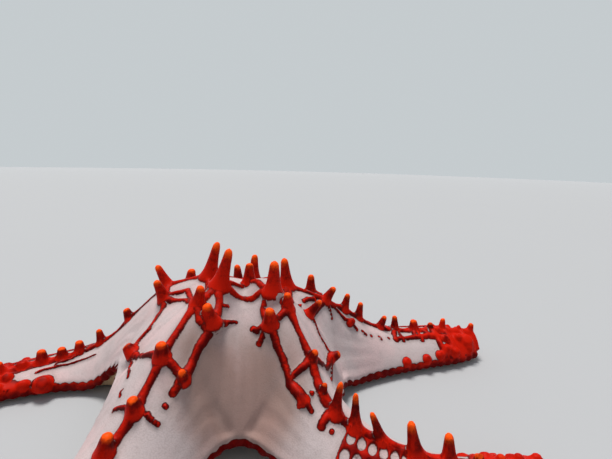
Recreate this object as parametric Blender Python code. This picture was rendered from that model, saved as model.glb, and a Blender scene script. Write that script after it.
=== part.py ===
"""A knobbed sea star at life size, resting on its five arms.

Each arm is a loft along its own curved axis. A place on the star is given by its station, the
way out from the centre along the arm's axis, and by its share of the half width, from -1 on the
arm's right edge to 1 on its left edge. Stations, offsets and heights are shares of ARM_REACH
until a point is placed in metres. A side is 1 on the left of an arm and -1 on its right.
"""
import math
from collections import namedtuple

import bmesh
import bpy
from mathutils import Matrix, Vector

# Driving sizes, in metres
ARM_REACH = 0.130
JOINT_GAP = 0.0003
BOX_MIDDLE_X = -0.000756
BOX_MIDDLE_Y = 0.003858
MERGE_DISTANCE = 0.000001

# The plan of the star
ARM_HALF_WIDTH = 0.158
TIP_RUN = 0.038
NARROWING_RUN = 0.20
BLUNTNESS = 2.6
TIP_END = 0.004
BEND_FROM = 0.30
BEND_TO = 0.75
DISC_STATIONS = (0.060, 0.098, 0.125, 0.152, 0.200, 0.232)
ROW_STEP = 0.0275
ROW_SPARE = 0.4
LAST_ROWS = (0.6, 0.35)
RING_STATION = 0.125

# Heights of the upper side
MARGIN_HEIGHT = 0.045
CREST_BASE = 0.045
CENTRE_DISH = 0.02
SHOULDER_RUN = 0.075
SWELL_FROM = 0.48
SWELL_TO = 0.80
CROWN_POWER = 2.2
SOFTEN = 1.0
SOFTEN_RUN = 0.05
VALLEY_POWER = 2.4
ARM_CROWN_FROM = 0.20
ARM_CROWN_TO = 0.45
RIDGE_RISE = 0.008
RIDGE_HALF = 0.12
PLATE_BULGE = 0.009
PLATE_LEVEL = 0.55

# Heights of the underside
EDGE_LIFT = 0.005
EDGE_TUCK = 0.94
TUCK_RUN = 0.055
BELLY_SHARE = 0.72
DISC_CLEARANCE = 0.020
REST_FROM = 0.24
REST_TO = 0.42
MOUTH_DEPTH = 0.055
MOUTH_RADIUS = 0.075
GROOVE_HALF_WIDTH = 0.034
GROOVE_SHARE = 0.32
GROOVE_DEPTH = 0.045

# Azimuth and bend are in degrees. The crest of an arm falls by slope over its length, and by
# shoulder round the foot of the disc, and swells again towards the tip. Cuts are the stations
# where the arm leaves the disc and where its own lengths part.
Arm = namedtuple("Arm", "azimuth bend length slope shoulder foot swell left_width right_width taper cuts")
ARMS = {
    "right": Arm(22.6, -13.0, 0.908, 0.119, 0.185, 0.364, 0.030, 0.97, 0.97, 0.105, (0.375, 0.605, 0.737)),
    "rear": Arm(92.0, -5.0, 0.97, 0.105, 0.190, 0.365, 0.015, 1.00, 1.00, 0.145, (0.370, 0.555, 0.730)),
    "left": Arm(170.6, 46.0, 0.93, 0.025, 0.305, 0.382, 0.015, 0.95, 0.95, 0.150, (0.345, 0.532, 0.753)),
    "front_left": Arm(244.2, 12.0, 0.97, 0.104, 0.254, 0.376, 0.015, 1.00, 1.00, 0.145, (0.393, 0.546, 0.732)),
    "front_right": Arm(308.6, 60.0, 0.95, 0.110, 0.269, 0.300, 0.0, 0.70, 1.00, 0.145, (0.353, 0.571, 0.712)),
}
ORDER = list(ARMS)
LENGTH_NAMES = ("base", "middle", "tip")

# The corner between each arm and the next one on its left: the station where the two margins
# meet, how high the margin arches up there, and how far that arch runs out along both arms
Corner = namedtuple("Corner", "station height run")
CORNERS = {
    "right": Corner(0.285, 0.045, 0.10),
    "rear": Corner(0.285, 0.045, 0.10),
    "left": Corner(0.300, 0.110, 0.235),
    "front_left": Corner(0.285, 0.035, 0.28),
    "front_right": Corner(0.258, 0.026, 0.085),
}
CORNER_STATIONS = sorted({place.station for place in CORNERS.values()})
LAST_CORNER = CORNER_STATIONS[-1]
SAME_STATION = 0.0001

# Ridges run along the crest and beside it, at shares of the half width that change in two steps
SIDE_RIDGE_SHARES = (0.33, 0.12, 0.05)
SIDE_RIDGE_STEPS = (0.20, 0.34, 0.45)

# The spines. Along and side are how far a spine leans out along its arm and to the arm's left,
# as shares of the way up, and girth scales its radius.
Knob = namedtuple("Knob", "station offset height along side girth", defaults=(0.10, 0.0, 0.8))
CRESTS = {
    "right": (
        Knob(0.137, 0.0, 0.097, -0.10, 0.0, 1.0), Knob(0.265, -0.025, 0.056, 0.55, -0.20, 0.9),
        Knob(0.345, -0.015, 0.060, 0.20, -0.10), Knob(0.405, -0.010, 0.061, 0.20, -0.05),
        Knob(0.500, 0.0, 0.051, 0.40, -0.15), Knob(0.565, 0.0, 0.060, 0.0),
        Knob(0.645, 0.0, 0.043, 0.0), Knob(0.700, 0.0, 0.031, 0.0), Knob(0.765, 0.0, 0.046, 0.0),
        Knob(0.830, 0.0, 0.024, 0.0), Knob(0.880, 0.0, 0.038, 0.20)),
    "rear": (
        Knob(0.130, -0.012, 0.093, 0.0, 0.0, 0.95), Knob(0.265, 0.0, 0.060), Knob(0.340, 0.0, 0.045),
        Knob(0.400, 0.0, 0.055), Knob(0.460, 0.0, 0.050), Knob(0.525, 0.0, 0.056), Knob(0.585, 0.0, 0.042),
        Knob(0.640, 0.0, 0.046), Knob(0.700, 0.0, 0.040), Knob(0.760, 0.0, 0.042), Knob(0.815, 0.0, 0.036),
        Knob(0.865, 0.0, 0.038), Knob(0.915, 0.0, 0.032)),
    "left": (
        Knob(0.120, 0.0, 0.113, -0.20, 0.0, 1.0), Knob(0.262, 0.0, 0.078, 0.50, 0.05, 0.9),
        Knob(0.400, 0.0, 0.043, 0.45), Knob(0.498, 0.0, 0.052), Knob(0.566, 0.0, 0.043, 0.0),
        Knob(0.618, 0.0, 0.038, 0.0), Knob(0.674, 0.0, 0.044, 0.0), Knob(0.722, 0.0, 0.022, 0.0),
        Knob(0.783, 0.0, 0.036), Knob(0.830, 0.0, 0.032), Knob(0.880, 0.0, 0.032)),
    "front_left": (
        Knob(0.128, 0.0, 0.107, -0.15, 0.25, 1.0), Knob(0.215, -0.005, 0.056, 0.0, 0.35, 0.9),
        Knob(0.347, 0.0, 0.044, 0.20, 0.10, 1.05), Knob(0.438, 0.005, 0.040, 0.20, 0.0, 1.0),
        Knob(0.512, -0.005, 0.051, 0.10, 0.25, 1.0), Knob(0.580, 0.0, 0.048), Knob(0.645, 0.0, 0.050),
        Knob(0.700, 0.0, 0.042), Knob(0.763, 0.0, 0.044), Knob(0.815, 0.0, 0.036), Knob(0.865, 0.0, 0.038),
        Knob(0.915, 0.0, 0.032)),
    "front_right": (
        Knob(0.162, -0.005, 0.088, 0.0, 0.05, 1.1), Knob(0.213, 0.012, 0.048, 0.05, -0.10, 0.85),
        Knob(0.322, 0.006, 0.034, 0.50, 0.20), Knob(0.384, -0.016, 0.032, 0.25, -0.05, 0.7),
        Knob(0.427, -0.025, 0.083, 0.05, 0.05, 0.7), Knob(0.474, -0.018, 0.090, -0.05, 0.0, 0.7),
        Knob(0.533, -0.008, 0.075, -0.30, -0.10, 0.7), Knob(0.609, -0.010, 0.083, -0.25, -0.05, 0.8),
        Knob(0.680, -0.012, 0.070, -0.10, 0.0, 0.8), Knob(0.745, -0.015, 0.034, -0.10, 0.0, 0.8),
        Knob(0.800, -0.010, 0.028), Knob(0.850, -0.005, 0.026), Knob(0.900, 0.0, 0.022)),
}
CENTRE_KNOB = Knob(0.030, -0.005, 0.062, 0.0, 0.0, 1.0)
CENTRE_KNOB_ARM = "front_right"

# Spines beside the crest, and those of the sides that are much alike
SIDE_KNOBS = {
    ("left", 1): (Knob(0.240, 0.065, 0.066, 0.30, 0.25, 0.95), Knob(0.665, 0.095, 0.022, 0.0, 0.70, 1.5)),
    ("left", -1): (Knob(0.215, -0.060, 0.056, 0.0, 0.0, 1.1), Knob(0.380, -0.072, 0.036, 0.10, -0.35)),
    ("front_left", 1): (Knob(0.220, 0.048, 0.060, 0.35, -0.15, 1.05), Knob(0.344, 0.062, 0.042, 0.50, 0.30)),
    ("front_left", -1): (Knob(0.290, -0.170, 0.030, 0.35, -0.90, 1.1),),
    ("front_right", -1): (Knob(0.214, -0.047, 0.052, 0.20, -0.10, 1.05),),
    ("front_right", 1): (Knob(0.235, 0.155, 0.026, 1.25, 1.55, 0.75),),
    ("right", -1): (Knob(0.172, -0.103, 0.057, 0.70, -0.30), Knob(0.345, -0.055, 0.022, 1.35, -0.50)),
    ("right", 1): (Knob(0.238, 0.035, 0.068, 0.0, 0.0, 0.95), Knob(0.345, 0.072, 0.036, 0.10, 0.35)),
    ("rear", 1): (Knob(0.232, 0.057, 0.076, 0.0, 0.0, 1.0), Knob(0.340, 0.072, 0.036, 0.10, 0.35)),
    ("rear", -1): (Knob(0.232, -0.057, 0.056, 0.10, -0.20), Knob(0.340, -0.072, 0.036, 0.10, -0.35)),
}

# Small spines near the tips: station, share of the half width and height
TIP_KNOBS = ((0.800, 0.48, 0.017), (0.860, 0.44, 0.017))
TIP_KNOB_LEAN = 0.8

# Short spines that stand out from the margin near the tips: station and height
EDGE_KNOBS = ((0.770, 0.024), (0.835, 0.024), (0.890, 0.022))
EDGE_KNOB_HEIGHT = 0.034
EDGE_KNOB_TILT = 0.45
EDGE_KNOB_GIRTH = 0.7

# A spine is turned from its profile: height and radius as shares, from its root under the skin
TALL_PROFILE = ((-0.28, 0.0), (-0.28, 1.15), (0.28, 0.68), (0.86, 0.46), (1.0, 0.0))
SHORT_PROFILE = ((-0.38, 0.0), (-0.38, 1.10), (0.72, 0.62), (1.0, 0.0))
ROOT_SPREAD = 1.15
TALL_KNOB = 0.060
TALL_SIDES = 6
SHORT_SIDES = 5
KNOB_RADIUS = 0.0185
KNOB_SPREAD = 0.16
STUBBY = 0.03
CUT_CLEARANCE = 0.005

# Tube feet stand in two rows in each groove
FEET_PITCH = 0.074
FEET_FROM = 0.150
FEET_TO = 0.045
FEET_END_CLEARANCE = 0.026
FOOT_SPREAD = 0.48
FOOT_RADIUS = 0.26
FOOT_LIFT = 0.004
FOOT_ROOT = 0.014
FOOT_PROFILE = ((1.0, 0.0), (1.0, 0.90), (0.24, 0.66), (0.0, 1.25), (0.0, 0.0))
FOOT_SIDES = 5

# The sieve plate on the disc between the rear and the left arm
SIEVE_ARM = "rear"
SIEVE_STATION = 0.172
SIEVE_RADIUS = 0.027
SIEVE_DEPTH = 0.016
SIEVE_PROFILE = ((0.0, 0.0), (0.0, 1.0), (0.020, 1.0), (0.026, 0.62), (0.027, 0.0))
SIEVE_CUT_HEIGHT = 0.05
SIEVE_SIDES = 14
SLOPE_STEP = 0.01

GREY_SKIN = (0.62, 0.52, 0.50)
RED_SKIN = (0.60, 0.045, 0.02)
PALE_PLATE = (0.72, 0.58, 0.50)
SKIN_ROUGHNESS = 0.62


def clear_scene():
    for old in list(bpy.data.objects):
        bpy.data.objects.remove(old)


def new_collection(name):
    made = bpy.data.collections.new(name)
    bpy.context.scene.collection.children.link(made)
    return made


def make_material(name, colour):
    material = bpy.data.materials.new(name)
    material.use_nodes = True
    shader = material.node_tree.nodes["Principled BSDF"]
    shader.inputs["Base Color"].default_value = (*colour, 1.0)
    shader.inputs["Roughness"].default_value = SKIN_ROUGHNESS
    shader.inputs["Metallic"].default_value = 0.0
    return material


def ease(low, high, value):
    """Rises smoothly from 0 at low to 1 at high."""
    share = min(max((value - low) / (high - low), 0.0), 1.0)
    return share * share * (3.0 - 2.0 * share)


# The plan of the star

def half_angle(arm, side):
    """Half the angle between an arm and its neighbour on one side, in radians."""
    neighbour = ORDER[(ORDER.index(arm) + side) % len(ORDER)]
    turn = (ARMS[neighbour].azimuth - ARMS[arm].azimuth + 180.0) % 360.0 - 180.0
    return math.radians(abs(turn) / 2.0)


def axis_point(arm, station):
    """The point on an arm's axis, and the way the axis heads there."""
    start = math.radians(ARMS[arm].azimuth)
    curl = math.radians(ARMS[arm].bend) / (BEND_TO - BEND_FROM)
    heading = start + curl * (min(max(station, BEND_FROM), BEND_TO) - BEND_FROM)
    before = min(station, BEND_FROM)
    after = max(station - BEND_TO, 0.0)
    x = before * math.cos(start) + (math.sin(heading) - math.sin(start)) / curl + after * math.cos(heading)
    y = before * math.sin(start) - (math.cos(heading) - math.cos(start)) / curl + after * math.sin(heading)
    return x, y, heading


def roundness(arm, station, run):
    """Falls from 1 to 0 like a quarter of a blunt ellipse, over the last run of an arm."""
    into_tip = min(max((station - (ARMS[arm].length - run)) / run, 0.0), 1.0)
    return (1.0 - into_tip ** BLUNTNESS) ** (1.0 / BLUNTNESS)


def corner(arm, side):
    """The corner between an arm and its neighbour on one side."""
    return CORNERS[arm if side == 1 else ORDER[ORDER.index(arm) - 1]]


def half_width(arm, side, station):
    """Out to the plane between two arms inside the corner, and to the arm's margin beyond it."""
    angle = half_angle(arm, side)
    start = corner(arm, side).station
    if station <= start:
        return station * math.tan(angle)
    taper = ARMS[arm].taper
    at_corner = ARM_HALF_WIDTH * (ARMS[arm].left_width if side == 1 else ARMS[arm].right_width)
    fillet = start * math.tan(angle) - at_corner
    fillet_run = fillet / (1.0 / math.tan(angle) - taper)
    beyond = station - start
    width = at_corner - taper * beyond + fillet * math.exp(-beyond / fillet_run)
    return width * roundness(arm, station, NARROWING_RUN)


# The upper side

def raw_crest(arm, station):
    shape = ARMS[arm]
    shoulder = shape.shoulder / (1.0 + math.exp((station - shape.foot) / SHOULDER_RUN))
    swell = shape.swell * ease(SWELL_FROM, SWELL_TO, station)
    return CREST_BASE + shape.slope * (1.0 - station) + shoulder + swell


CENTRE_HEIGHT = sum(raw_crest(arm, 0.0) for arm in ARMS) / len(ARMS) - CENTRE_DISH


def round_at_tip(arm, station, height):
    middle = MARGIN_HEIGHT / 2.0
    return middle + (height - middle) * roundness(arm, station, TIP_RUN)


def crest_height(arm, station):
    own = ease(0.0, RING_STATION, station)
    height = CENTRE_HEIGHT * (1.0 - own) + raw_crest(arm, station) * own
    return round_at_tip(arm, station, height)


def edge_height(arm, side, station):
    """The top of the margin, or inside the corner the line where two arms meet on the disc."""
    start, height, run = corner(arm, side)
    corner_top = MARGIN_HEIGHT + height
    if station < start:
        return corner_top + (CENTRE_HEIGHT - corner_top) * (1.0 - (station / start) ** VALLEY_POWER)
    rise = height * (1.0 - ease(start, start + run, station))
    return round_at_tip(arm, station, MARGIN_HEIGHT + rise)


def skin_height(arm, station, share):
    """The upper side without its ridges."""
    side = 1 if share >= 0.0 else -1
    edge = edge_height(arm, side, station)
    on_arm = ease(ARM_CROWN_FROM, ARM_CROWN_TO, station)
    disc_fall = 0.5 + 0.5 * math.cos(math.pi * share)
    start = corner(arm, side).station
    inside = 1.0 - ease(start, start + SOFTEN_RUN, station)
    arm_fall = (1.0 - abs(share) ** CROWN_POWER) ** (1.0 + SOFTEN * inside)
    fall = disc_fall * (1.0 - on_arm) + arm_fall * on_arm
    return edge + (crest_height(arm, station) - edge) * fall


def side_ridge(station):
    """Where the ridge beside the crest runs, as a share of the half width."""
    first, second, third = SIDE_RIDGE_SHARES
    low, middle, high = SIDE_RIDGE_STEPS
    return first + second * ease(low, middle, station) + third * ease(middle, high, station)


def has_rung(arm, station):
    """A cross ridge joins the three ridges of an arm at each spine of its crest."""
    return any(abs(station - knob.station) <= ROW_STEP / 2.0 for knob in CRESTS[arm][1:])


def relief(arm, station, share):
    """The height of the ridges over the skin, at one of the shares of a row."""
    ridge = side_ridge(station)
    along = share == 0.0 or (abs(share) == ridge and station > RING_STATION)
    across = station == RING_STATION or (abs(share) <= ridge and has_rung(arm, station))
    return RIDGE_RISE * roundness(arm, station, TIP_RUN) if along or across else 0.0


# The underside

def bottom_edge(arm, side, station):
    """The lower edge of the margin, which arches up between two arms."""
    start, height, run = corner(arm, side)
    if station < start:
        return DISC_CLEARANCE + (height + EDGE_LIFT - DISC_CLEARANCE) * (station / start) ** 3
    return EDGE_LIFT + height * (1.0 - ease(start, start + run, station))


def belly_height(station):
    """The flat that the star rests on, lifted under the disc and further at the mouth."""
    disc = DISC_CLEARANCE * (1.0 - ease(REST_FROM, REST_TO, station))
    mouth = MOUTH_DEPTH * (1.0 - ease(MOUTH_RADIUS * 0.5, MOUTH_RADIUS, station))
    return disc + mouth


def groove_half(arm, station):
    narrower = min(half_width(arm, 1, station), half_width(arm, -1, station))
    return min(GROOVE_HALF_WIDTH, GROOVE_SHARE * narrower)


def groove_roof(arm, station):
    return belly_height(station) + GROOVE_DEPTH * groove_half(arm, station) / GROOVE_HALF_WIDTH


# Rows of points across an arm, in metres

def place(arm, station, offset, height):
    x, y, heading = axis_point(arm, station)
    return Vector(((x - offset * math.sin(heading)) * ARM_REACH - BOX_MIDDLE_X,
                   (y + offset * math.cos(heading)) * ARM_REACH - BOX_MIDDLE_Y,
                   height * ARM_REACH))


def on_skin(arm, station, share):
    offset = share * half_width(arm, 1 if share >= 0.0 else -1, station)
    return place(arm, station, offset, skin_height(arm, station, share))


def plate_bulge(arm, station):
    """The margin swells over every second row beyond the corners, which makes its plates."""
    row = round((station - LAST_CORNER) / ROW_STEP)
    if station <= LAST_CORNER or row % 2 == 0:
        return 0.0
    return PLATE_BULGE * roundness(arm, station, TIP_RUN)


def top_row(arm, station):
    """Over the upper side, from the right edge to the left one."""
    ridge = side_ridge(station)
    half = (1.0, ridge + RIDGE_HALF, ridge, ridge - RIDGE_HALF, RIDGE_HALF)
    shares = (*(-share for share in half), 0.0, *reversed(half))
    rise = Vector((0.0, 0.0, ARM_REACH))
    return [on_skin(arm, station, share) + rise * relief(arm, station, share) for share in shares]


def wall_middle(arm, side, station):
    """The point half way down the margin, which stands out where a plate is."""
    top = edge_height(arm, side, station)
    low = bottom_edge(arm, side, station)
    offset = half_width(arm, side, station) + plate_bulge(arm, station)
    return place(arm, station, side * offset, low + PLATE_LEVEL * (top - low))


def belly_row(arm, station):
    """Along the underside, from the left edge over the groove to the right edge."""
    groove = groove_half(arm, station)
    belly = belly_height(station)
    edges = {}
    flats = {}
    for side in (1, -1):
        start = corner(arm, side).station
        width = half_width(arm, side, station)
        tuck = 1.0 - (1.0 - EDGE_TUCK) * ease(start, start + TUCK_RUN, station)
        edges[side] = place(arm, station, side * width * tuck, bottom_edge(arm, side, station))
        flats[side] = place(arm, station, side * width * BELLY_SHARE, belly)
    return [edges[1], flats[1], place(arm, station, groove, belly),
            place(arm, station, 0.0, groove_roof(arm, station)),
            place(arm, station, -groove, belly), flats[-1], edges[-1]]


def stations_between(arm, start, end):
    """The rows of an arm between two cuts, with a row on each cut."""
    length = ARMS[arm].length
    last, blunt = (length - TIP_RUN * share for share in LAST_ROWS)
    rows = [*DISC_STATIONS, *CORNER_STATIONS]
    rows += [LAST_CORNER + ROW_STEP * (row + 1) for row in range(int((last - LAST_CORNER) / ROW_STEP))]
    rows.append(blunt)
    spare = ROW_STEP * ROW_SPARE
    inside = [row for row in rows if start + spare < row < end - spare or
              row in CORNER_STATIONS and start < row < end]
    return [start, *inside, end]


# Meshes

def finish_mesh(bm, name, material, collection):
    """Closes the seams, turns every face outwards and makes the object."""
    bmesh.ops.remove_doubles(bm, verts=bm.verts, dist=MERGE_DISTANCE)
    bmesh.ops.recalc_face_normals(bm, faces=bm.faces)
    bmesh.ops.triangulate(bm, faces=bm.faces)
    mesh = bpy.data.meshes.new(name)
    bm.to_mesh(mesh)
    bm.free()
    if material:
        mesh.materials.append(material)
    made = bpy.data.objects.new(name, mesh)
    collection.objects.link(made)
    return made


def add_strip(bm, first, second, closed=False):
    """A strip of faces between two rows of vertices."""
    count = len(first)
    for i in range(count if closed else count - 1):
        j = (i + 1) % count
        bm.faces.new((first[i], first[j], second[j], second[i]))


def ring_of(arm, station):
    """The closed section of an arm."""
    return [*top_row(arm, station), wall_middle(arm, 1, station), *belly_row(arm, station),
            wall_middle(arm, -1, station)]


def arm_length(arm, number, material, collection):
    """One length of an arm, with a flat face on each cut."""
    cuts = ARMS[arm].cuts
    half_gap = JOINT_GAP / ARM_REACH / 2.0
    end = cuts[number + 1] - half_gap if number + 1 < len(cuts) else ARMS[arm].length - TIP_END
    bm = bmesh.new()
    rings = []
    for station in stations_between(arm, cuts[number] + half_gap, end):
        rings.append([bm.verts.new(point) for point in ring_of(arm, station)])
    for first, second in zip(rings, rings[1:]):
        add_strip(bm, first, second, closed=True)
    bm.faces.new(rings[0])
    bm.faces.new(rings[-1])
    return finish_mesh(bm, f"arm_{arm}_{LENGTH_NAMES[number]}", material, collection)


def add_disc_sector(bm, arm, centre_top, centre_bottom):
    """The disc's share of one arm, out to the arm's first cut."""
    cut = ARMS[arm].cuts[0] - JOINT_GAP / ARM_REACH / 2.0
    stations = stations_between(arm, 0.0, cut)[1:]
    tops = [[bm.verts.new(point) for point in top_row(arm, station)] for station in stations]
    bellies = [[bm.verts.new(point) for point in belly_row(arm, station)] for station in stations]
    for rows, centre in ((tops, centre_top), (bellies, centre_bottom)):
        for first, second in zip(rows, rows[1:]):
            add_strip(bm, first, second)
        for first, second in zip(rows[0], rows[0][1:]):
            bm.faces.new((centre, first, second))
    walls = {1: [], -1: []}
    for station, top, belly in zip(stations, tops, bellies):
        if station > corner(arm, 1).station - SAME_STATION:
            walls[1].append((top[-1], bm.verts.new(wall_middle(arm, 1, station)), belly[0]))
        if station > corner(arm, -1).station - SAME_STATION:
            walls[-1].append((belly[-1], bm.verts.new(wall_middle(arm, -1, station)), top[0]))
    for rows in walls.values():
        for first, second in zip(rows, rows[1:]):
            add_strip(bm, first, second)
    bm.faces.new((*tops[-1], walls[1][-1][1], *bellies[-1], walls[-1][-1][1]))


def disc(material, collection):
    bm = bmesh.new()
    centre = Vector((-BOX_MIDDLE_X, -BOX_MIDDLE_Y, 0.0))
    up = Vector((0.0, 0.0, ARM_REACH))
    centre_top = bm.verts.new(centre + up * CENTRE_HEIGHT)
    centre_bottom = bm.verts.new(centre + up * (DISC_CLEARANCE + MOUTH_DEPTH))
    for arm in ARMS:
        add_disc_sector(bm, arm, centre_top, centre_bottom)
    return finish_mesh(bm, "disc", material, collection)


def turned(profile, radius, height, sides, foot, direction, collection):
    """A solid turned from its profile, standing on foot and pointing along direction."""
    bm = bmesh.new()
    points = [bm.verts.new((share * radius, 0.0, level * height)) for level, share in profile]
    for first, second in zip(points, points[1:]):
        bm.edges.new((first, second))
    bmesh.ops.spin(bm, geom=bm.verts[:] + bm.edges[:], cent=(0.0, 0.0, 0.0), axis=(0.0, 0.0, 1.0),
                   angle=2.0 * math.pi, steps=sides, use_merge=True)
    turn = direction.to_track_quat("Z", "Y").to_matrix().to_4x4()
    bmesh.ops.transform(bm, matrix=Matrix.Translation(foot) @ turn, verts=bm.verts)
    return finish_mesh(bm, "form", None, collection)


# Spines and tube feet

def lean(arm, station, along, side):
    """A direction up from the skin that leans out along the arm and to its left."""
    heading = axis_point(arm, station)[2]
    out = Vector((math.cos(heading), math.sin(heading), 0.0))
    left = Vector((-math.sin(heading), math.cos(heading), 0.0))
    return Vector((0.0, 0.0, 1.0)) + out * along + left * side


def knob_radius(knob):
    return knob.girth * (KNOB_RADIUS + KNOB_SPREAD * max(knob.height - STUBBY, 0.0))


def clear_of_cuts(arm, station, radius):
    """The nearest station where a spine of this radius stays on one side of every cut."""
    reach = radius * ROOT_SPREAD + CUT_CLEARANCE
    for cut in ARMS[arm].cuts:
        if abs(station - cut) < reach:
            return cut + math.copysign(reach, station - cut)
    return station


def spine(arm, knob, start, end, collection):
    """A spine with a spread foot and a blunt tip, if its foot is between two stations."""
    radius = knob_radius(knob)
    station = clear_of_cuts(arm, knob.station, radius)
    if not start <= station < end:
        return
    width = half_width(arm, 1 if knob.offset >= 0.0 else -1, station)
    share = min(max(knob.offset / max(width, SAME_STATION), -1.0), 1.0)
    direction = lean(arm, station, knob.along, knob.side).normalized()
    profile, sides = (TALL_PROFILE, TALL_SIDES) if knob.height >= TALL_KNOB else (SHORT_PROFILE, SHORT_SIDES)
    turned(profile, radius * ARM_REACH, knob.height * ARM_REACH, sides, on_skin(arm, station, share),
           direction, collection)


def tip_knobs(arm):
    """The small spines near the tip of an arm."""
    made = []
    for side in (1, -1):
        for station, share, height in TIP_KNOBS:
            offset = side * share * half_width(arm, side, station)
            made.append(Knob(station, offset, height, 0.10, side * TIP_KNOB_LEAN, EDGE_KNOB_GIRTH))
    return made


def edge_knobs(arm, start, end, collection):
    """Short spines that stand out from the margin near the tip."""
    radius = KNOB_RADIUS * EDGE_KNOB_GIRTH
    for side in (1, -1):
        for wanted, height in EDGE_KNOBS:
            station = clear_of_cuts(arm, wanted, radius)
            if start <= station < end and station < ARMS[arm].length - 2.0 * radius:
                foot = place(arm, station, side * half_width(arm, side, station), EDGE_KNOB_HEIGHT)
                direction = lean(arm, station, 0.0, side) - Vector((0.0, 0.0, 1.0 - EDGE_KNOB_TILT))
                turned(SHORT_PROFILE, radius * ARM_REACH, height * ARM_REACH, SHORT_SIDES, foot, direction,
                       collection)


def tube_feet(arm, start, end, collection):
    """Two rows of feet hang from the roof of the groove, each with its sucker."""
    first = max(start + FEET_END_CLEARANCE, FEET_FROM)
    last = min(end - FEET_END_CLEARANCE, ARMS[arm].length - FEET_TO)
    count = round((last - first) / FEET_PITCH) + 1
    for number in range(count):
        station = first + (last - first) * number / (count - 1)
        groove = groove_half(arm, station)
        roof = groove_roof(arm, station) - FOOT_SPREAD * (groove_roof(arm, station) - belly_height(station))
        for side in (1, -1):
            foot = place(arm, station, side * FOOT_SPREAD * groove, FOOT_LIFT)
            length = (roof + FOOT_ROOT * groove / GROOVE_HALF_WIDTH - FOOT_LIFT) * ARM_REACH
            turned(FOOT_PROFILE, FOOT_RADIUS * groove * ARM_REACH, length, FOOT_SIDES, foot,
                   Vector((0.0, 0.0, 1.0)), collection)


def run_boolean(body, operation, collection):
    """Joins a collection's solids to a body, or cuts them out of it, and removes them."""
    modifier = body.modifiers.new(operation.lower(), "BOOLEAN")
    modifier.operation = operation
    modifier.operand_type = "COLLECTION"
    modifier.collection = collection
    modifier.solver = "EXACT"
    evaluated = body.evaluated_get(bpy.context.evaluated_depsgraph_get())
    joined = bpy.data.meshes.new_from_object(evaluated)
    body.modifiers.remove(modifier)
    body.data = joined
    for old in list(collection.objects):
        bpy.data.objects.remove(old)
    bpy.data.collections.remove(collection)


def keep_largest_surface(body):
    bm = bmesh.new()
    bm.from_mesh(body.data)
    bmesh.ops.remove_doubles(bm, verts=bm.verts, dist=MERGE_DISTANCE)
    left = set(bm.verts)
    surfaces = []
    while left:
        surface = {left.pop()}
        edge = list(surface)
        while edge:
            for link in edge.pop().link_edges:
                for vert in link.verts:
                    if vert in left:
                        left.remove(vert)
                        surface.add(vert)
                        edge.append(vert)
        surfaces.append(surface)
    surfaces.sort(key=len)
    bmesh.ops.delete(bm, geom=[vert for surface in surfaces[:-1] for vert in surface], context="VERTS")
    bmesh.ops.triangulate(bm, faces=bm.faces)
    bm.to_mesh(body.data)
    bm.free()


def dress(body, arm_parts):
    """Joins to a body the spines and feet of each arm and stretch of stations that it holds."""
    forms = new_collection(body.name + "_forms")
    for arm, start, end in arm_parts:
        knobs = [*CRESTS[arm], *SIDE_KNOBS.get((arm, 1), ()), *SIDE_KNOBS.get((arm, -1), ()), *tip_knobs(arm)]
        if arm == CENTRE_KNOB_ARM:
            knobs.append(CENTRE_KNOB)
        for knob in knobs:
            spine(arm, knob, start, end, forms)
        edge_knobs(arm, start, end, forms)
        tube_feet(arm, start, end, forms)
    run_boolean(body, "UNION", forms)
    keep_largest_surface(body)


def sieve_plate(body, material, collection):
    """A low domed plate, set in a pocket of the disc."""
    centre = on_skin(SIEVE_ARM, SIEVE_STATION, 1.0)
    outer = on_skin(SIEVE_ARM, SIEVE_STATION + SLOPE_STEP, 1.0)
    inner = on_skin(SIEVE_ARM, SIEVE_STATION - SLOPE_STEP, 1.0)
    outwards = outer - inner
    normal = outwards.cross(Vector((-outwards.y, outwards.x, 0.0))).normalized()
    floor = centre - normal * SIEVE_DEPTH * ARM_REACH
    cutters = new_collection("cutters")
    pocket = ((0.0, 0.0), (0.0, 1.0), (SIEVE_CUT_HEIGHT, 1.0), (SIEVE_CUT_HEIGHT, 0.0))
    turned(pocket, SIEVE_RADIUS * ARM_REACH, ARM_REACH, SIEVE_SIDES, floor, normal, cutters)
    run_boolean(body, "DIFFERENCE", cutters)
    keep_largest_surface(body)
    plate = turned(SIEVE_PROFILE, SIEVE_RADIUS * ARM_REACH - JOINT_GAP, ARM_REACH, SIEVE_SIDES,
                   floor + normal * JOINT_GAP, normal, collection)
    plate.name = "sieve_plate"
    plate.data.materials.clear()
    plate.data.materials.append(material)


def main():
    clear_scene()
    star = new_collection("sea_star")
    grey = make_material("grey_skin", GREY_SKIN)
    red = make_material("red_skin", RED_SKIN)
    middle = disc(grey, star)
    dress(middle, [(arm, 0.0, ARMS[arm].cuts[0]) for arm in ARMS])
    sieve_plate(middle, make_material("pale_plate", PALE_PLATE), star)
    for arm, shape in ARMS.items():
        ends = (*shape.cuts, shape.length)
        for number in range(len(LENGTH_NAMES)):
            body = arm_length(arm, number, red, star)
            dress(body, [(arm, ends[number], ends[number + 1])])


main()
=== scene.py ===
"""The looks of a knobbed sea star, modelled in the frame of its solids, in metres.

A place on the star is given by its arm, by its station, the way out from the centre along the
arm's axis, and by its offset to the left of that axis, both as shares of the arm's reach. An
offset is also given as its share of the half width, from -1 to 1.
"""
import math
import random
from collections import namedtuple

import bpy
import numpy as np
from bpy.props import FloatProperty, FloatVectorProperty, IntProperty, PointerProperty
from mathutils import Matrix, Vector, noise
from mathutils.kdtree import KDTree


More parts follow.
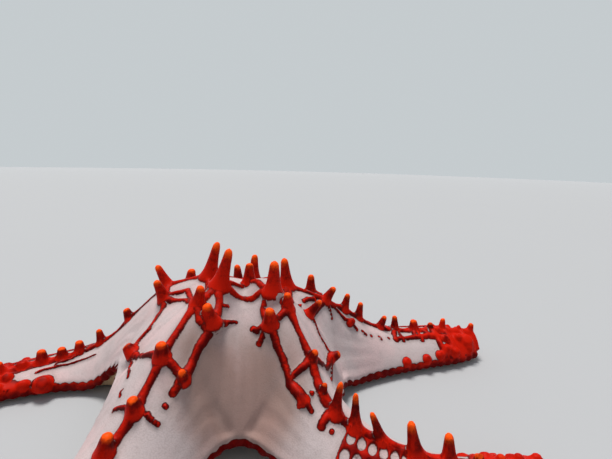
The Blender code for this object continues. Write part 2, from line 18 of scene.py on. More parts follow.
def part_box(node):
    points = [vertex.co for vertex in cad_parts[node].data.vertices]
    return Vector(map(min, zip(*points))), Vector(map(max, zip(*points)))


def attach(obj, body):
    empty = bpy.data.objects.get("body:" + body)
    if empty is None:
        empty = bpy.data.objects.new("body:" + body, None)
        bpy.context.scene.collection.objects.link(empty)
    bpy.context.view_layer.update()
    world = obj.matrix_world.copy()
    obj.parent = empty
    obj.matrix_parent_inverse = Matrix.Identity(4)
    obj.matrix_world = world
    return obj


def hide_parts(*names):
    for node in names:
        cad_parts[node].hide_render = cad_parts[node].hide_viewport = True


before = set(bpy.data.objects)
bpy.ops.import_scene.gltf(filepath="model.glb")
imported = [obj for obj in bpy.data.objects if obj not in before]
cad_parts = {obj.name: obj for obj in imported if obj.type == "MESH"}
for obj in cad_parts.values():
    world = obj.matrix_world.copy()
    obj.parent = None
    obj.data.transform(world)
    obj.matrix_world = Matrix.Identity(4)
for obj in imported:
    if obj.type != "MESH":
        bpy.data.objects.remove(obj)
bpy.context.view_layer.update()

bl_info = {
    "name": "Knobbed sea star",
    "version": (1, 0, 0),
    "blender": (4, 5, 0),
    "location": "3D View > Sidebar > Sea Star",
    "description": "Models a knobbed sea star with its skin, spines, tube feet and sieve plate",
    "category": "Object",
}

# The star's centre in the frame, and the reach that every share below is a share of
REACH = 0.130
CENTRE = Vector((0.000756, -0.003858, 0.0))

# The plan of the star
ARM_HALF_WIDTH = 0.158
TIP_RUN = 0.038
NARROWING_RUN = 0.20
BLUNTNESS = 2.6
BEND_FROM = 0.30
BEND_TO = 0.75

# Heights of the upper side
MARGIN_HEIGHT = 0.045
CREST_BASE = 0.045
CENTRE_DISH = 0.02
SHOULDER_RUN = 0.075
SWELL_FROM = 0.48
SWELL_TO = 0.80
CROWN_POWER = 2.2
SOFTEN = 1.0
SOFTEN_RUN = 0.05
SEAM_FROM = 0.55
SEAM_RUN = 0.10
VALLEY_POWER = 2.4
RING_STATION = 0.125
# A pair is where a smooth change begins and ends: here, where the disc's round slopes become the
# arms', where the folds between two arms come and go, and where finer pleats join them
DISC_TO_ARM = (0.20, 0.45)
FOLDS_COME = (0.14, 0.26)
FOLDS_GO = (0.34, 0.46)
FOLD_SHARES = (0.15, 0.65)
FOLD_HEIGHT = 0.0020
FOLD_LENGTH = 0.055
PLEATS_COME = (0.20, 0.29)
PLEAT_HEIGHT = 0.0011
PLEAT_LENGTH = 0.021

# Heights of the underside
EDGE_LIFT = 0.012
EDGE_TUCK = 0.94
EDGE_POWER = 3
EDGE_SHARES = (0.62, 1.0)
BELLY_LIFT = 0.006
BELLY_FALL = (0.24, 0.42)
DISC_CLEARANCE = 0.020
MOUTH_DEPTH = 0.055
MOUTH_RADIUS = 0.075
GROOVE_HALF_WIDTH = 0.034
GROOVE_SHARE = 0.32
GROOVE_DEPTH = 0.045
GROOVE_LIP = (0.55, 1.05)

# An arm's azimuth and bend are in degrees. Its crest falls outwards by slope, with a shoulder towards
# the disc that ends at foot, and a swell further out. Its widths are shares of ARM_HALF_WIDTH, and
# taper is how much it narrows outwards.
Arm = namedtuple("Arm", "azimuth bend length slope shoulder foot swell left_width right_width taper")
ARMS = {
    "right": Arm(22.6, -13.0, 0.908, 0.119, 0.185, 0.364, 0.030, 0.97, 0.97, 0.105),
    "rear": Arm(92.0, -5.0, 0.97, 0.105, 0.190, 0.365, 0.015, 1.00, 1.00, 0.145),
    "left": Arm(170.6, 46.0, 0.93, 0.025, 0.305, 0.382, 0.015, 0.95, 0.95, 0.150),
    "front_left": Arm(244.2, 12.0, 0.97, 0.104, 0.254, 0.376, 0.015, 1.00, 1.00, 0.145),
    "front_right": Arm(308.6, 60.0, 0.95, 0.110, 0.269, 0.300, 0.0, 0.70, 1.00, 0.145),
}
ORDER = list(ARMS)
# The corners between each arm and the next one on its left: the station where the two margins meet,
# how high the margin arches up there, and how far that arch runs out along both arms
Corner = namedtuple("Corner", "station height run")
CORNERS = {
    "right": Corner(0.285, 0.045, 0.10),
    "rear": Corner(0.285, 0.045, 0.10),
    "left": Corner(0.300, 0.110, 0.235),
    "front_left": Corner(0.285, 0.035, 0.28),
    "front_right": Corner(0.258, 0.026, 0.085),
}
# The spines. Along and side are how far a spine leans out along its arm and to the arm's left, as
# shares of the way up, and girth scales its radii. A side is 1 on the left of an arm and -1 on its
# right.
Knob = namedtuple("Knob", "station offset height along side girth", defaults=(0.10, 0.0, 0.8))


def knob_rows(*rows):
    return tuple(Knob(*row) for row in rows)


CENTRE_KNOB = Knob(0.030, -0.005, 0.062, 0.0, 0.0, 1.0)
CRESTS = {
    "right": knob_rows(
        (0.137, 0.0, 0.097, -0.10, 0.0, 1.0), (0.265, -0.025, 0.056, 0.55, -0.20, 0.9),
        (0.345, -0.015, 0.060, 0.20, -0.10), (0.405, -0.010, 0.061, 0.20, -0.05),
        (0.500, 0.0, 0.051, 0.40, -0.15), (0.565, 0.0, 0.060, 0.0), (0.645, 0.0, 0.043, 0.0, 0.0, 1.05),
        (0.712, 0.0, 0.031, 0.0, 0.0, 0.8), (0.762, 0.0, 0.046, 0.0, 0.0, 0.75),
        (0.833, 0.0, 0.024, 0.0, 0.0, 0.6), (0.880, 0.0, 0.038, 0.20, 0.0, 0.75)),
    "rear": knob_rows(
        (0.130, -0.012, 0.093, 0.0, 0.0, 0.95), (0.265, 0.0, 0.060), (0.340, 0.0, 0.045),
        (0.400, 0.0, 0.055), (0.460, 0.0, 0.050), (0.525, 0.0, 0.056), (0.585, 0.0, 0.042),
        (0.640, 0.0, 0.046), (0.700, 0.0, 0.040), (0.760, 0.0, 0.042), (0.815, 0.0, 0.036),
        (0.865, 0.0, 0.038), (0.915, 0.0, 0.032)),
    "left": knob_rows(
        (0.120, 0.0, 0.113, -0.20, 0.0, 1.0), (0.262, 0.0, 0.078, 0.50, 0.05, 0.9),
        (0.400, 0.0, 0.043, 0.45, 0.0, 0.95), (0.498, 0.0, 0.052), (0.566, 0.0, 0.043, 0.0, 0.0, 1.0),
        (0.618, 0.0, 0.038, 0.0, 0.0, 1.0), (0.674, 0.0, 0.044, 0.0, 0.0, 1.05),
        (0.726, 0.0, 0.022, 0.0, 0.0, 1.1), (0.780, 0.0, 0.036), (0.830, 0.0, 0.032),
        (0.880, 0.0, 0.032)),
    "front_left": knob_rows(
        (0.128, 0.0, 0.107, -0.15, 0.25, 1.0), (0.215, -0.005, 0.056, 0.0, 0.35, 0.9),
        (0.347, 0.0, 0.044, 0.20, 0.10, 1.05), (0.438, 0.005, 0.040, 0.20, 0.0, 1.0),
        (0.512, -0.005, 0.051, 0.10, 0.25, 1.0), (0.580, 0.0, 0.048), (0.645, 0.0, 0.050),
        (0.705, 0.0, 0.042), (0.760, 0.0, 0.044), (0.815, 0.0, 0.036), (0.865, 0.0, 0.038),
        (0.915, 0.0, 0.032)),
    "front_right": knob_rows(
        (0.162, -0.005, 0.088, 0.0, 0.05, 1.1), (0.213, 0.012, 0.048, 0.05, -0.10, 0.85),
        (0.322, 0.006, 0.034, 0.50, 0.20), (0.384, -0.016, 0.032, 0.25, -0.05, 0.6),
        (0.427, -0.025, 0.083, 0.05, 0.05, 0.65), (0.474, -0.018, 0.090, -0.05, 0.0, 0.62),
        (0.533, -0.008, 0.075, -0.30, -0.10, 0.62), (0.609, -0.010, 0.083, -0.25, -0.05, 0.82),
        (0.680, -0.012, 0.070, -0.10, 0.0, 0.85), (0.745, -0.015, 0.034, -0.10, 0.0, 0.80),
        (0.800, -0.010, 0.028), (0.850, -0.005, 0.026), (0.900, 0.0, 0.022)),
}

# Spines off the crest that the arms have on one side or the other, and those of the sides that are
# much alike
SIDE_KNOBS = {
    ("left", 1): knob_rows(
        (0.240, 0.065, 0.066, 0.30, 0.25, 0.95), (0.665, 0.095, 0.022, 0.0, 0.70, 1.50)),
    ("front_left", 1): knob_rows(
        (0.220, 0.048, 0.060, 0.35, -0.15, 1.05), (0.344, 0.062, 0.042, 0.50, 0.30, 0.75)),
    ("front_left", -1): knob_rows((0.290, -0.170, 0.030, 0.35, -0.90, 1.1)),
    ("front_right", -1): knob_rows(
        (0.214, -0.047, 0.052, 0.20, -0.10, 1.05), (0.365, -0.060, 0.012, 0.1, -0.4)),
    ("front_right", 1): knob_rows((0.235, 0.155, 0.034, 1.25, 1.55, 0.95)),
    ("right", -1): knob_rows(
        (0.172, -0.103, 0.057, 0.70, -0.30), (0.347, -0.055, 0.022, 1.35, -0.50),
        (0.557, -0.117, 0.012, 0.0, -1.0, 0.9), (0.646, -0.109, 0.012, 0.0, -1.0, 0.9),
        (0.743, -0.083, 0.014, 0.0, -1.0, 1.0), (0.839, -0.049, 0.016, 0.0, -0.8, 1.5)),
    ("rear", 1): knob_rows((0.232, 0.057, 0.076, 0.0, 0.0, 1.0), (0.345, 0.072, 0.036, 0.10, 0.35)),
    ("right", 1): knob_rows((0.238, 0.035, 0.068, 0.0, 0.0, 0.95), (0.345, 0.072, 0.036, 0.10, 0.35)),
    ("left", -1): knob_rows((0.215, -0.060, 0.056, 0.0, 0.0, 1.1), (0.345, -0.072, 0.036, 0.10, -0.35)),
}
USUAL_SIDE = knob_rows((0.232, 0.057, 0.056, 0.10, 0.20), (0.345, 0.072, 0.036, 0.10, 0.35))

# The rows of small spines near a tip, for an arm of the length TIP_ROWS_LENGTH. Their offsets are
# shares of the half width.
TIP_ROWS = knob_rows((0.790, 0.48, 0.014), (0.855, 0.44, 0.014), (0.745, 0.93, 0.013),
                     (0.820, 0.90, 0.014), (0.890, 0.84, 0.012))
TIP_ROWS_LENGTH = 0.96
TIP_ROW_ALONG = 0.1
TIP_ROW_LEAN = 0.3
TIP_ROW_GIRTH = 0.9

# Ridges off the crest, as a radius with stations and offsets. The ones that are much alike are
# written for the left side and mirrored for the right.
BROAD = 0.0105
NARROW = 0.0080
FINE = 0.0050
THIN = 0.0034
Ridge = namedtuple("Ridge", "radius points")


def ridge_rows(*rows):
    return tuple(Ridge(radius, points) for radius, *points in rows)


RIDGES = {
    ("left", 1): ridge_rows(
        (NARROW, (0.262, 0.0), (0.240, 0.065)),
        (NARROW, (0.205, 0.060), (0.240, 0.065)),
        (THIN, (0.503, 0.056), (0.554, 0.051), (0.611, 0.048), (0.653, 0.047), (0.687, 0.050)),
        (THIN, (0.540, 0.005), (0.590, 0.029), (0.634, 0.034)),
        (BROAD, (0.655, 0.086), (0.675, 0.086))),
    ("front_left", 1): ridge_rows(
        (BROAD, (0.128, 0.0), (0.156, 0.017), (0.182, 0.037), (0.220, 0.048), (0.243, 0.053),
         (0.288, 0.053), (0.344, 0.062)),
        (NARROW, (0.344, 0.062), (0.364, 0.060), (0.377, 0.059)),
        (NARROW, (0.128, 0.0), (0.142, -0.016), (0.164, -0.022), (0.215, -0.005)),
        (NARROW, (0.215, -0.005), (0.228, 0.005), (0.245, 0.028), (0.243, 0.053)),
        (FINE, (0.182, 0.037), (0.165, 0.042), (0.152, 0.047)),
        (NARROW, (0.220, 0.048), (0.187, 0.063)),
        (FINE, (0.187, 0.063), (0.175, 0.069), (0.161, 0.081)),
        (NARROW, (0.347, 0.0), (0.346, 0.033), (0.344, 0.062)),
        (FINE, (0.402, 0.057), (0.402, 0.061)),
        (FINE, (0.433, 0.035), (0.434, 0.049), (0.431, 0.064))),
    ("front_left", -1): ridge_rows(
        (NARROW, (0.347, 0.0), (0.338, -0.066), (0.313, -0.118), (0.290, -0.170)),
        (FINE, (0.290, -0.170), (0.331, -0.126), (0.350, -0.110), (0.374, -0.085)),
        (FINE, (0.402, -0.074), (0.413, -0.068)),
        (FINE, (0.438, 0.005), (0.438, -0.047), (0.440, -0.059))),
    ("front_right", -1): ridge_rows(
        (NARROW, (0.162, -0.005), (0.167, -0.025), (0.172, -0.043), (0.214, -0.047)),
        (BROAD, (0.214, -0.047), (0.255, -0.053), (0.292, -0.053), (0.324, -0.060), (0.365, -0.060)),
        (FINE, (0.365, -0.060), (0.363, -0.075)),
        (FINE, (0.365, -0.060), (0.375, -0.060), (0.389, -0.063)),
        (NARROW, (0.213, 0.012), (0.219, -0.003), (0.221, -0.027), (0.214, -0.047)),
        (NARROW, (0.214, -0.047), (0.191, -0.073), (0.180, -0.080)),
        (NARROW, (0.214, -0.047), (0.213, -0.080)),
        (NARROW, (0.322, 0.006), (0.326, -0.019), (0.319, -0.055)),
        (NARROW, (0.427, -0.025), (0.418, -0.037), (0.417, -0.067)),
        (FINE, (0.439, -0.060), (0.439, -0.063)),
        (FINE, (0.369, -0.039), (0.373, -0.039))),
    ("front_right", 1): ridge_rows(
        (NARROW, (0.322, 0.006), (0.319, 0.043), (0.235, 0.155)),
        (FINE, (0.235, 0.155), (0.253, 0.144), (0.283, 0.117))),
    ("right", -1): ridge_rows(
        (NARROW, (0.222, -0.034), (0.194, -0.040), (0.178, -0.051)),
        (FINE, (0.155, -0.085), (0.150, -0.088)),
        (NARROW, (0.265, -0.025), (0.223, -0.058), (0.172, -0.103)),
        (FINE, (0.265, -0.025), (0.275, -0.048), (0.276, -0.063)),
        (FINE, (0.265, -0.025), (0.310, -0.041), (0.332, -0.054), (0.347, -0.055), (0.375, -0.066)),
        (FINE, (0.398, -0.065), (0.410, -0.070)),
        (FINE, (0.433, -0.067), (0.434, -0.068)),
        (FINE, (0.470, -0.060), (0.476, -0.066)),
        (FINE, (0.513, -0.053), (0.514, -0.054)),
        (NARROW, (0.565, 0.0), (0.545, -0.033), (0.543, -0.056)),
        (NARROW, (0.540, -0.053), (0.589, -0.047), (0.631, -0.040), (0.684, -0.035), (0.735, -0.040)),
        (FINE, (0.645, 0.0), (0.630, -0.038)),
        (FINE, (0.671, 0.0), (0.690, -0.030)),
        (FINE, (0.712, 0.0), (0.725, -0.036))),
}
USUAL_RIDGES = ridge_rows(
    (BROAD, (0.150, 0.0), (0.185, 0.035), (0.232, 0.057)),
    (NARROW, (0.265, 0.0), (0.232, 0.057)),
    (NARROW, (0.232, 0.057), (0.290, 0.068), (0.345, 0.072), (0.380, 0.073)),
    (NARROW, (0.345, 0.0), (0.345, 0.072)),
    (FINE, (0.415, 0.070), (0.420, 0.070)),
    (NARROW, (0.460, 0.0), (0.465, 0.068)),
    (FINE, (0.465, 0.068), (0.480, 0.067)),
    (NARROW, (0.540, 0.0), (0.545, 0.063)),
    (FINE, (0.520, 0.064), (0.600, 0.058), (0.680, 0.052), (0.760, 0.046)))
# Ridges from a place on one arm to a place on another
LINKS = ridge_rows(
    (NARROW, ("left", 0.240, 0.065), ("left", 0.226, 0.096), ("front_left", 0.231, -0.168),
     ("front_left", 0.258, -0.178), ("front_left", 0.290, -0.170)),
    (NARROW, ("left", 0.240, 0.065), ("left", 0.205, 0.060), ("left", 0.167, 0.056),
     ("front_left", 0.215, -0.005)),
    (NARROW, ("left", 0.240, 0.065), ("left", 0.191, 0.087), ("left", 0.145, 0.108),
     ("front_left", 0.215, -0.005)),
    (BROAD, ("front_left", 0.128, 0.0), ("front_left", 0.112, 0.027), ("front_left", 0.087, 0.055),
     ("front_right", 0.117, -0.043), ("front_right", 0.146, -0.018), ("front_right", 0.162, -0.005)),
    (NARROW, ("front_left", 0.128, 0.0), ("front_left", 0.056, 0.018), ("front_right", 0.030, -0.005),
     ("front_right", 0.123, -0.017), ("front_right", 0.162, -0.005)),
    (NARROW, ("front_right", 0.162, -0.005), ("front_right", 0.185, 0.004),
     ("front_right", 0.194, 0.015), ("front_right", 0.213, 0.012)),
    (NARROW, ("right", 0.137, 0.0), ("front_right", 0.187, 0.012)),
    (FINE, ("right", 0.172, -0.103), ("right", 0.185, -0.105), ("front_right", 0.192, 0.141),
     ("front_right", 0.213, 0.149), ("front_right", 0.235, 0.155)))
# The rows of round windows in the red of the front right arm: how far the rows' middles lie from the
# crest where the first window is, how they draw in to it further out and by how much at most, the
# windows' radius, how tall they are for it, their spacing, and how far the red goes past them
WINDOW_ROWS = (-0.045, -0.081)
WINDOW_DRIFT = 0.12
WINDOW_MOST = 0.012
WINDOW_RADIUS = 0.0080
WINDOW_TALL = 1.5
WINDOW_PITCH = 0.0225
WINDOW_MARGIN = 0.006
WINDOWS_FROM = 0.475
WINDOWS_TO = 0.745
# How far out from the centre the ring of ridges round the disc dips between an arm and the next
RING_DIP = {"right": 0.118, "rear": 0.108, "left": 0.118, "front_right": 0.150}


# Keeps divisors off 0
TINY = 1e-6


def ease(low, high, value):
    """Rises smoothly from 0 at low to 1 at high."""
    share = np.clip((value - low) / (high - low), 0.0, 1.0)
    return share * share * (3.0 - 2.0 * share)


# The shape of the star, for arrays of stations and shares

def neighbour(arm, side):
    return ORDER[(ORDER.index(arm) + side) % len(ORDER)]


def half_angle(arm, side):
    """Half the angle between an arm and its neighbour on one side, in radians."""
    turn = (ARMS[neighbour(arm, side)].azimuth - ARMS[arm].azimuth + 180.0) % 360.0 - 180.0
    return math.radians(abs(turn) / 2.0)


def axis_point(arm, station):
    """The points on an arm's axis, and the way the axis heads there."""
    start = math.radians(ARMS[arm].azimuth)
    curl = math.radians(ARMS[arm].bend) / (BEND_TO - BEND_FROM)
    heading = start + curl * (np.clip(station, BEND_FROM, BEND_TO) - BEND_FROM)
    before = np.minimum(station, BEND_FROM)
    after = np.maximum(station - BEND_TO, 0.0)
    x = before * math.cos(start) + (np.sin(heading) - math.sin(start)) / curl + after * np.cos(heading)
    y = before * math.sin(start) - (np.cos(heading) - math.cos(start)) / curl + after * np.sin(heading)
    return x, y, heading


def roundness(arm, station, run):
    """Falls from 1 to 0 like a quarter of a blunt ellipse, over the last run of an arm."""
    into_tip = np.clip((station - (ARMS[arm].length - run)) / run, 0.0, 1.0)
    return (1.0 - into_tip ** BLUNTNESS) ** (1.0 / BLUNTNESS)


def corner_owner(arm, side):
    """Of an arm and its neighbour on one side, the one that has the other on its left."""
    return arm if side == 1 else neighbour(arm, side)


def corner(arm, side):
    """The corner between an arm and its neighbour on one side."""
    return CORNERS[corner_owner(arm, side)]


def corner_station(arm, offset):
    """The station of the corner on the side that each offset is on."""
    return np.where(offset >= 0.0, corner(arm, 1).station, corner(arm, -1).station)


def half_width(arm, side, station):
    """Out to the plane between two arms inside the corner, and to the arm's margin beyond it."""
    angle = half_angle(arm, side)
    start = corner(arm, side).station
    taper = ARMS[arm].taper
    at_corner = ARM_HALF_WIDTH * (ARMS[arm].left_width if side == 1 else ARMS[arm].right_width)
    fillet = start * math.tan(angle) - at_corner
    fillet_run = fillet / (1.0 / math.tan(angle) - taper)
    beyond = np.maximum(station - start, 0.0)
    outer = at_corner - taper * beyond + fillet * np.exp(-beyond / fillet_run)
    rounded = outer * roundness(arm, station, NARROWING_RUN)
    return np.where(station <= start, station * math.tan(angle), rounded)


def raw_crest(arm, station):
    """The height of an arm's crest before its tip is rounded off."""
    shape = ARMS[arm]
    shoulder = shape.shoulder / (1.0 + np.exp((station - shape.foot) / SHOULDER_RUN))
    swell = shape.swell * ease(SWELL_FROM, SWELL_TO, station)
    return CREST_BASE + shape.slope * (1.0 - station) + shoulder + swell


CENTRE_HEIGHT = sum(raw_crest(arm, 0.0) for arm in ARMS) / len(ARMS) - CENTRE_DISH


def round_at_tip(arm, station, height):
    middle = MARGIN_HEIGHT / 2.0
    return middle + (height - middle) * roundness(arm, station, TIP_RUN)


def crest_height(arm, station):
    own = ease(0.0, RING_STATION, station)
    return round_at_tip(arm, station, CENTRE_HEIGHT * (1.0 - own) + raw_crest(arm, station) * own)


def on_side(function, arm, offset, station):
    """The value that a function of arm, side and station has on the side that each offset is on."""
    return np.where(offset >= 0.0, function(arm, 1, station), function(arm, -1, station))


def edge_height(arm, side, station):
    """The top of the margin, or inside the corner the line where two arms meet on the disc."""
    start, height, run = corner(arm, side)
    corner_top = MARGIN_HEIGHT + height
    inside = np.clip(1.0 - (station / start) ** VALLEY_POWER, 0.0, 1.0)
    on_disc = corner_top + (CENTRE_HEIGHT - corner_top) * inside
    rise = height * (1.0 - ease(start, start + run, station))
    on_arm = round_at_tip(arm, station, MARGIN_HEIGHT + rise)
    return np.where(station < start, on_disc, on_arm)


def folds(station, share):
    """Soft folds that run down the slopes between two arms."""
    place = (1.0 - np.abs(share)) * station
    strength = ease(*FOLDS_COME, station) * (1.0 - ease(*FOLDS_GO, station))
    strength = strength * ease(*FOLD_SHARES, np.abs(share))
    fold = FOLD_HEIGHT * np.cos(2.0 * math.pi * place / FOLD_LENGTH)
    pleat = PLEAT_HEIGHT * np.cos(2.0 * math.pi * place / PLEAT_LENGTH) * ease(*PLEATS_COME, station)
    pleat = pleat * ease(0.0, PLEAT_LENGTH, place)
    return (fold + pleat) * strength


def drawn_in(arm, station, share):
    """Stations, made less near the line between two arms, where the skin would crease otherwise."""
    angle = np.where(share >= 0.0, half_angle(arm, 1), half_angle(arm, -1))
    start = corner_station(arm, share)
    gap = (1.0 - np.abs(share)) * on_side(half_width, arm, share, station)
    near = ease(SEAM_FROM, 1.0, np.abs(share)) * (1.0 - ease(start, start + SEAM_RUN, station))
    return station - np.sin(angle) * np.cos(angle) * gap * near


def skin_height(arm, station, share):
    """The upper side: a fall from the crest to the edge, which is rounder on the disc."""
    edge = on_side(edge_height, arm, share, drawn_in(arm, station, share))
    on_arm = ease(*DISC_TO_ARM, station)
    disc_fall = 0.5 + 0.5 * np.cos(math.pi * share)
    start = corner_station(arm, share)
    inside = 1.0 - ease(start, start + SOFTEN_RUN, station)
    arm_fall = (1.0 - np.abs(share) ** CROWN_POWER) ** (1.0 + SOFTEN * inside)
    fall = disc_fall * (1.0 - on_arm) + arm_fall * on_arm
    return edge + (crest_height(arm, station) - edge) * fall + folds(station, share)


def bottom_edge(arm, side, station):
    """The lower edge of the margin, which arches up between two arms."""
    start, height, run = corner(arm, side)
    inside = DISC_CLEARANCE + (height + EDGE_LIFT - DISC_CLEARANCE) * (station / start) ** EDGE_POWER
    outside = EDGE_LIFT + height * (1.0 - ease(start, start + run, station))
    return np.where(station < start, inside, outside)


def belly_height(station):
    disc = DISC_CLEARANCE * (1.0 - ease(*BELLY_FALL, station))
    mouth = MOUTH_DEPTH * (1.0 - ease(MOUTH_RADIUS * 0.5, MOUTH_RADIUS, station))
    return BELLY_LIFT + disc + mouth


def groove_half(arm, station):
    narrower = np.minimum(half_width(arm, 1, station), half_width(arm, -1, station))
    return np.minimum(GROOVE_HALF_WIDTH, GROOVE_SHARE * narrower)


def groove_depth(arm, station):
    return GROOVE_DEPTH * groove_half(arm, station) / GROOVE_HALF_WIDTH


def under_height(arm, station, share):
    """The underside, with its groove along the middle and its lifted margin."""
    offset = np.abs(share) * on_side(half_width, arm, share, station)
    half = np.maximum(groove_half(arm, station), TINY)
    groove = groove_depth(arm, station) * (1.0 - ease(*GROOVE_LIP, offset / half))
    belly = belly_height(station)
    lifted = np.maximum(on_side(bottom_edge, arm, share, station) - belly, 0.0)
    margin = lifted * ease(*EDGE_SHARES, np.abs(share))
    return belly + groove + margin


def to_frame(arm, station, offset, height):
    """Points in metres from stations, offsets and heights."""
    x, y, heading = axis_point(arm, station)
    return np.stack([(x - offset * np.sin(heading)) * REACH + CENTRE.x,
                     (y + offset * np.cos(heading)) * REACH + CENTRE.y,
                     height * REACH + 0.0 * x], axis=-1)


def on_skin(arm, station, offset):
    """The point of the skin at one place, as a vector in metres."""
    station = float(station)
    width = float(on_side(half_width, arm, offset, station))
    share = min(max(offset / width, -1.0), 1.0)
    return Vector(to_frame(arm, station, offset, float(skin_height(arm, station, share))))


AXIS_STEP = 0.004


def locate(points):
    """For points in metres, the number of the arm they are on, their station and their offset."""
    plan = (points[:, :2] - np.array(CENTRE[:2])) / REACH
    nearest = np.full(len(plan), np.inf)
    number = np.zeros(len(plan), int)
    station = np.zeros(len(plan))
    offset = np.zeros(len(plan))
    for index, arm in enumerate(ORDER):
        samples = np.arange(0.0, ARMS[arm].length + AXIS_STEP, AXIS_STEP)
        x, y, heading = axis_point(arm, samples)
        square = (plan[:, :1] - x) ** 2 + (plan[:, 1:] - y) ** 2
        best = square.argmin(axis=1)
        dx = plan[:, 0] - x[best]
        dy = plan[:, 1] - y[best]
        along = dx * np.cos(heading[best]) + dy * np.sin(heading[best])
        closer = square[np.arange(len(plan)), best] < nearest
        nearest = np.where(closer, square[np.arange(len(plan)), best], nearest)
        number = np.where(closer, index, number)
        station = np.where(closer, samples[best] + np.clip(along, -AXIS_STEP, AXIS_STEP), station)
        offset = np.where(closer, dy * np.cos(heading[best]) - dx * np.sin(heading[best]), offset)
    return number, np.maximum(station, 0.0), offset


def height_over(points):
    """The skin's height in metres over points of the plan."""
    number, station, offset = locate(points)
    height = np.zeros(len(points))
    for index, arm in enumerate(ORDER):
        own = number == index
        width = np.maximum(on_side(half_width, arm, offset[own], station[own]), TINY)
        share = np.clip(offset[own] / width, -1.0, 1.0)
        height[own] = skin_height(arm, station[own], share)
    return height * REACH


# Making and finishing objects

SMOOTH_FACTOR = 0.5


def deselect():
    bpy.ops.object.select_all(action="DESELECT")


def make_active(piece):
    deselect()
    piece.select_set(True)
    bpy.context.view_layer.objects.active = piece


def join(pieces, name):
    deselect()
    for piece in pieces:
        piece.select_set(True)
    bpy.context.view_layer.objects.active = pieces[0]
    bpy.ops.object.join()
    joined = bpy.context.object
    joined.name = name
    joined.data.name = name
    return joined


def apply_modifier(piece, kind, settings):
    make_active(piece)
    modifier = piece.modifiers.new(kind.lower(), kind)
    for name, value in settings.items():
        setattr(modifier, name, value)
    bpy.ops.object.modifier_apply(modifier=modifier.name)


def smooth(piece, rounds, group=""):
    apply_modifier(piece, "SMOOTH", {
        "factor": SMOOTH_FACTOR, "iterations": rounds, "vertex_group": group})


def coordinates(piece):
    count = len(piece.data.vertices)
    values = np.zeros(count * 3, np.float32)
    piece.data.vertices.foreach_get("co", values)
    return values.reshape(-1, 3).astype(float)


def set_coordinates(piece, points):
    piece.data.vertices.foreach_set("co", points.astype(np.float32).ravel())
    piece.data.update()


def keep_above(piece, level):
    """Lifts what lies below a level up to it."""
    points = coordinates(piece)
    points[:, 2] = np.maximum(points[:, 2], level)
    set_coordinates(piece, points)


def normals_of(piece):
    values = np.zeros(len(piece.data.vertices) * 3, np.float32)
    piece.data.vertex_normals.foreach_get("vector", values)
    return values.reshape(-1, 3)


def set_attribute(piece, name, values):
    attribute = piece.data.attributes.new(name, "FLOAT", "POINT")
    attribute.data.foreach_set("value", values.astype(np.float32))


def copy_of(template, matrix):
    """A copy with its own mesh, whose place is in the mesh."""
    made = template.copy()
    made.data = template.data.copy()
    made.data.transform(matrix)
    bpy.context.scene.collection.objects.link(made)
    return made


def remove(piece):
    bpy.data.objects.remove(piece)


def dress(piece, material, nodes=()):
    """Gives a finished piece its material and the solids that it stands for."""
    piece.data.materials.clear()
    piece.data.materials.append(material)
    make_active(piece)
    bpy.ops.object.shade_smooth()
    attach(piece, "root")
    if nodes:
        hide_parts(*nodes)


def turned(name, profile, sides):
    """Turns a profile of levels and radii round the Z axis, by extruding a circle ring by ring."""
    first_level, first_radius = profile[0]
    deselect()
    bpy.ops.mesh.primitive_circle_add(vertices=sides, radius=first_radius, fill_type="NGON",
                                      location=(0.0, 0.0, first_level))
    made = bpy.context.object
    made.name = name
    bpy.ops.object.transform_apply(location=True)
    bpy.ops.object.mode_set(mode="EDIT")
    for (level, radius), (next_level, next_radius) in zip(profile, profile[1:]):
        rise = (0.0, 0.0, next_level - level)
        bpy.ops.mesh.extrude_region_move(TRANSFORM_OT_translate={"value": rise})
        ratio = next_radius / radius
        bpy.ops.transform.resize(value=(ratio, ratio, 1.0), center_override=(0.0, 0.0, next_level))
    bpy.ops.mesh.select_all(action="SELECT")
    bpy.ops.mesh.normals_make_consistent(inside=False)
    bpy.ops.object.mode_set(mode="OBJECT")
    return made


def direction_matrix(place, direction, radius, height):
    """Stands a turned unit shape at a place, along a direction."""
    turn = direction.to_track_quat("Z", "Y").to_matrix().to_4x4()
    return Matrix.Translation(place) @ turn @ Matrix.Diagonal((radius, radius, height, 1.0))


# Materials

NOISE_ROUGHNESS = 0.55


class Socket:
    """An output that takes part in sums."""

    def __init__(self, finish, output):
        self.finish = finish
        self.output = output

    def sum(self, operation, first, second):
        return self.finish.add("ShaderNodeMath", {"operation": operation}, {0: first, 1: second})

    def __add__(self, other):
        return self.sum("ADD", self, other)

    def __sub__(self, other):
        return self.sum("SUBTRACT", self, other)

    def __rsub__(self, other):
        return self.sum("SUBTRACT", other, self)

    def __mul__(self, other):
        return self.sum("MULTIPLY", self, other)

    __radd__ = __add__
    __rmul__ = __mul__


